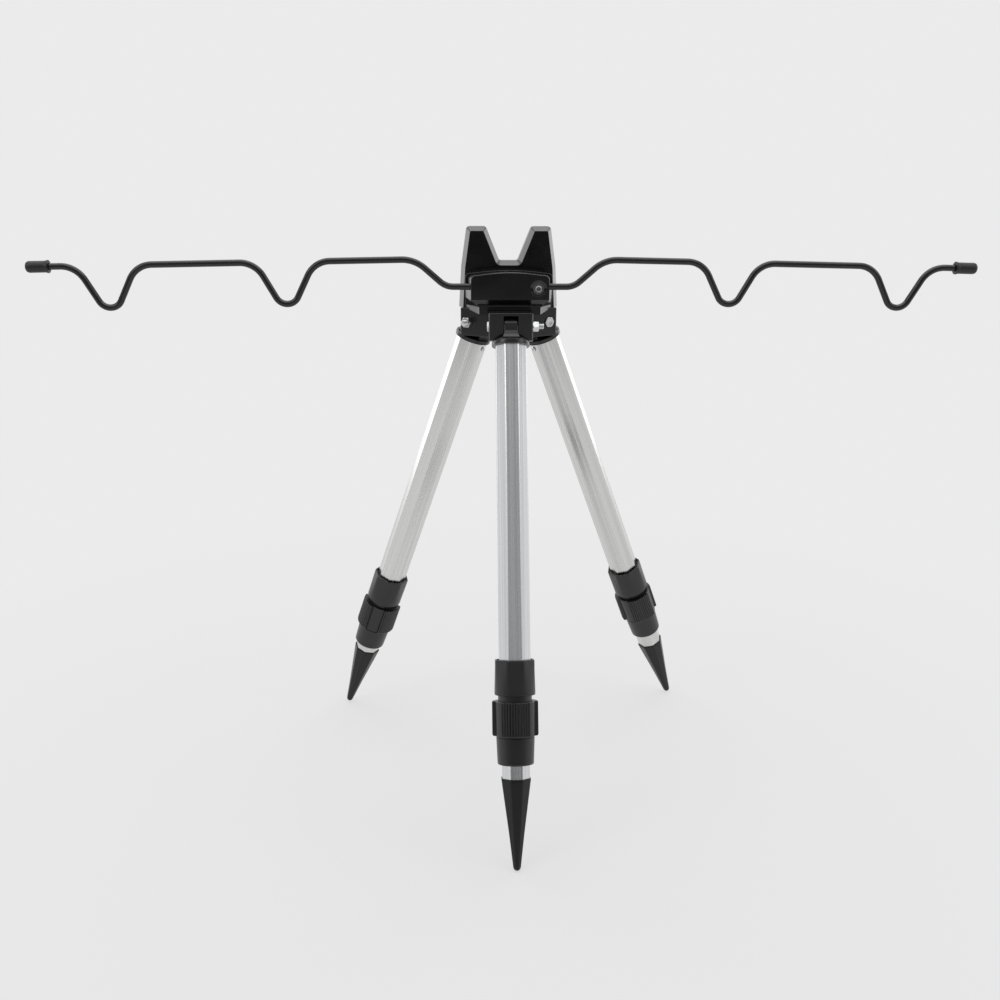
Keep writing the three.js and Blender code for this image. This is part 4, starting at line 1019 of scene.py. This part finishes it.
def soft_light(name, place, aim, size, power):
    lamp = bpy.data.lights.new(name, "AREA")
    lamp.shape = "RECTANGLE"
    lamp.size, lamp.size_y = size
    lamp.energy = power
    holder = bpy.data.objects.new(name, lamp)
    holder.location = place
    holder.rotation_euler = (Vector(aim) - Vector(place)).to_track_quat("-Z", "Y").to_euler()
    holder.visible_camera = False
    bpy.context.collection.objects.link(holder)


def glow_card(card, name, colour):
    """Makes the piece a card that only gloss reflects; colour sets up its emission."""
    made = bpy.data.materials.new(name)
    tree, out = blank(made, "OutputMaterial")
    shade = node(tree, "Emission")
    colour(tree, shade)
    tree.links.new(shade.outputs[0], out.inputs["Surface"])
    card.data.materials.append(made)
    card.visible_camera = False
    card.visible_diffuse = False
    card.visible_shadow = False
    card.visible_transmission = False


def dark_card():
    """A bent card in front of the tripod, seen only in reflections, where it paints dark reflections on the
    faces that look forward: black at its foot, grey above and pale at its ends.
    """
    card = freeze(added("dark card", bpy.ops.mesh.primitive_cylinder_add, vertices=96, radius=3.1, depth=3.4,
                        end_fill_type="NOTHING", location=(0, 0, 1.703)))
    edit(card)
    pick(card, "FACE", lambda face: face.calc_center_median().y > -0.3)
    bpy.ops.mesh.delete(type="FACE")
    bpy.ops.mesh.select_mode(type="VERT")
    bpy.ops.object.mode_set(mode="OBJECT")

    def colour(tree, shade):
        coords = node(tree, "TexCoord")
        apart = node(tree, "SeparateXYZ")
        tree.links.new(coords.outputs["Object"], apart.inputs[0])
        side = math_node(tree, "ABSOLUTE", apart.outputs["X"], 0)
        black, grey = (0.01, 0.01, 0.01, 1), (0.36, 0.36, 0.36, 1)
        upper = mixed_colour(tree, spread(tree, side, 1.6, 2.6), grey, PALE)
        lifted = mixed_colour(tree, spread(tree, apart.outputs["Z"], 0.45, 0.8), black, upper)
        whole = mixed_colour(tree, spread(tree, side, 2.7, 3.05), lifted, PALE)
        tree.links.new(whole, shade.inputs["Color"])
    glow_card(card, "card", colour)


def bright_strip():
    """A long bright strip above the camera, seen only in reflections; it paints the fine highlight lines along
    rounded edges.
    """
    strip = added("bright strip", bpy.ops.mesh.primitive_plane_add, size=1, location=(0, -1.1, 1.83),
                  rotation=(math.radians(-39), 0, 0))
    strip.scale = (3.4, 0.6, 1)
    freeze(strip)

    def colour(tree, shade):
        shade.inputs["Color"].default_value = (1, 1, 1, 1)
        shade.inputs["Strength"].default_value = 3
    glow_card(strip, "strip", colour)


floor()
world()
dark_card()
bright_strip()
HEAD_AIM = (0, 0.05, 0.35)
soft_light("top soft box", (0, 0.5, 2.05), (0, 0.4, 0), (2.6, 2.4), 29)
soft_light("left front soft box", (-1.6, -0.9, 1.5), HEAD_AIM, (0.9, 0.9), 5)
soft_light("right front soft box", (1.7, -0.5, 1.3), HEAD_AIM, (0.9, 0.9), 3)
soft_light("left back soft box", (-1.7, 1.7, 0.75), HEAD_AIM, (1.6, 1.5), 9)
soft_light("right back soft box", (1.7, 1.7, 0.75), HEAD_AIM, (1.6, 1.5), 8)

CAMERA_PLACE = (-0.04386, -0.82569, 0.51473)
CAMERA_HEADING, CAMERA_DOWN, CAMERA_ROLL = -0.0427, 0.3, 0.005
lens = bpy.data.cameras.new("camera")
lens.lens = 36.77
lens.sensor_width = 36
lens.clip_start, lens.clip_end = 0.05, 60
camera = bpy.data.objects.new("camera", lens)
bpy.context.collection.objects.link(camera)
tilt = Matrix.Rotation(math.pi / 2 - CAMERA_DOWN, 4, "X") @ Matrix.Rotation(CAMERA_ROLL, 4, "Z")
camera.matrix_world = Matrix.Translation(CAMERA_PLACE) @ Matrix.Rotation(CAMERA_HEADING, 4, "Z") @ tilt
bpy.context.scene.camera = camera
bpy.context.scene.view_settings.view_transform = "Standard"
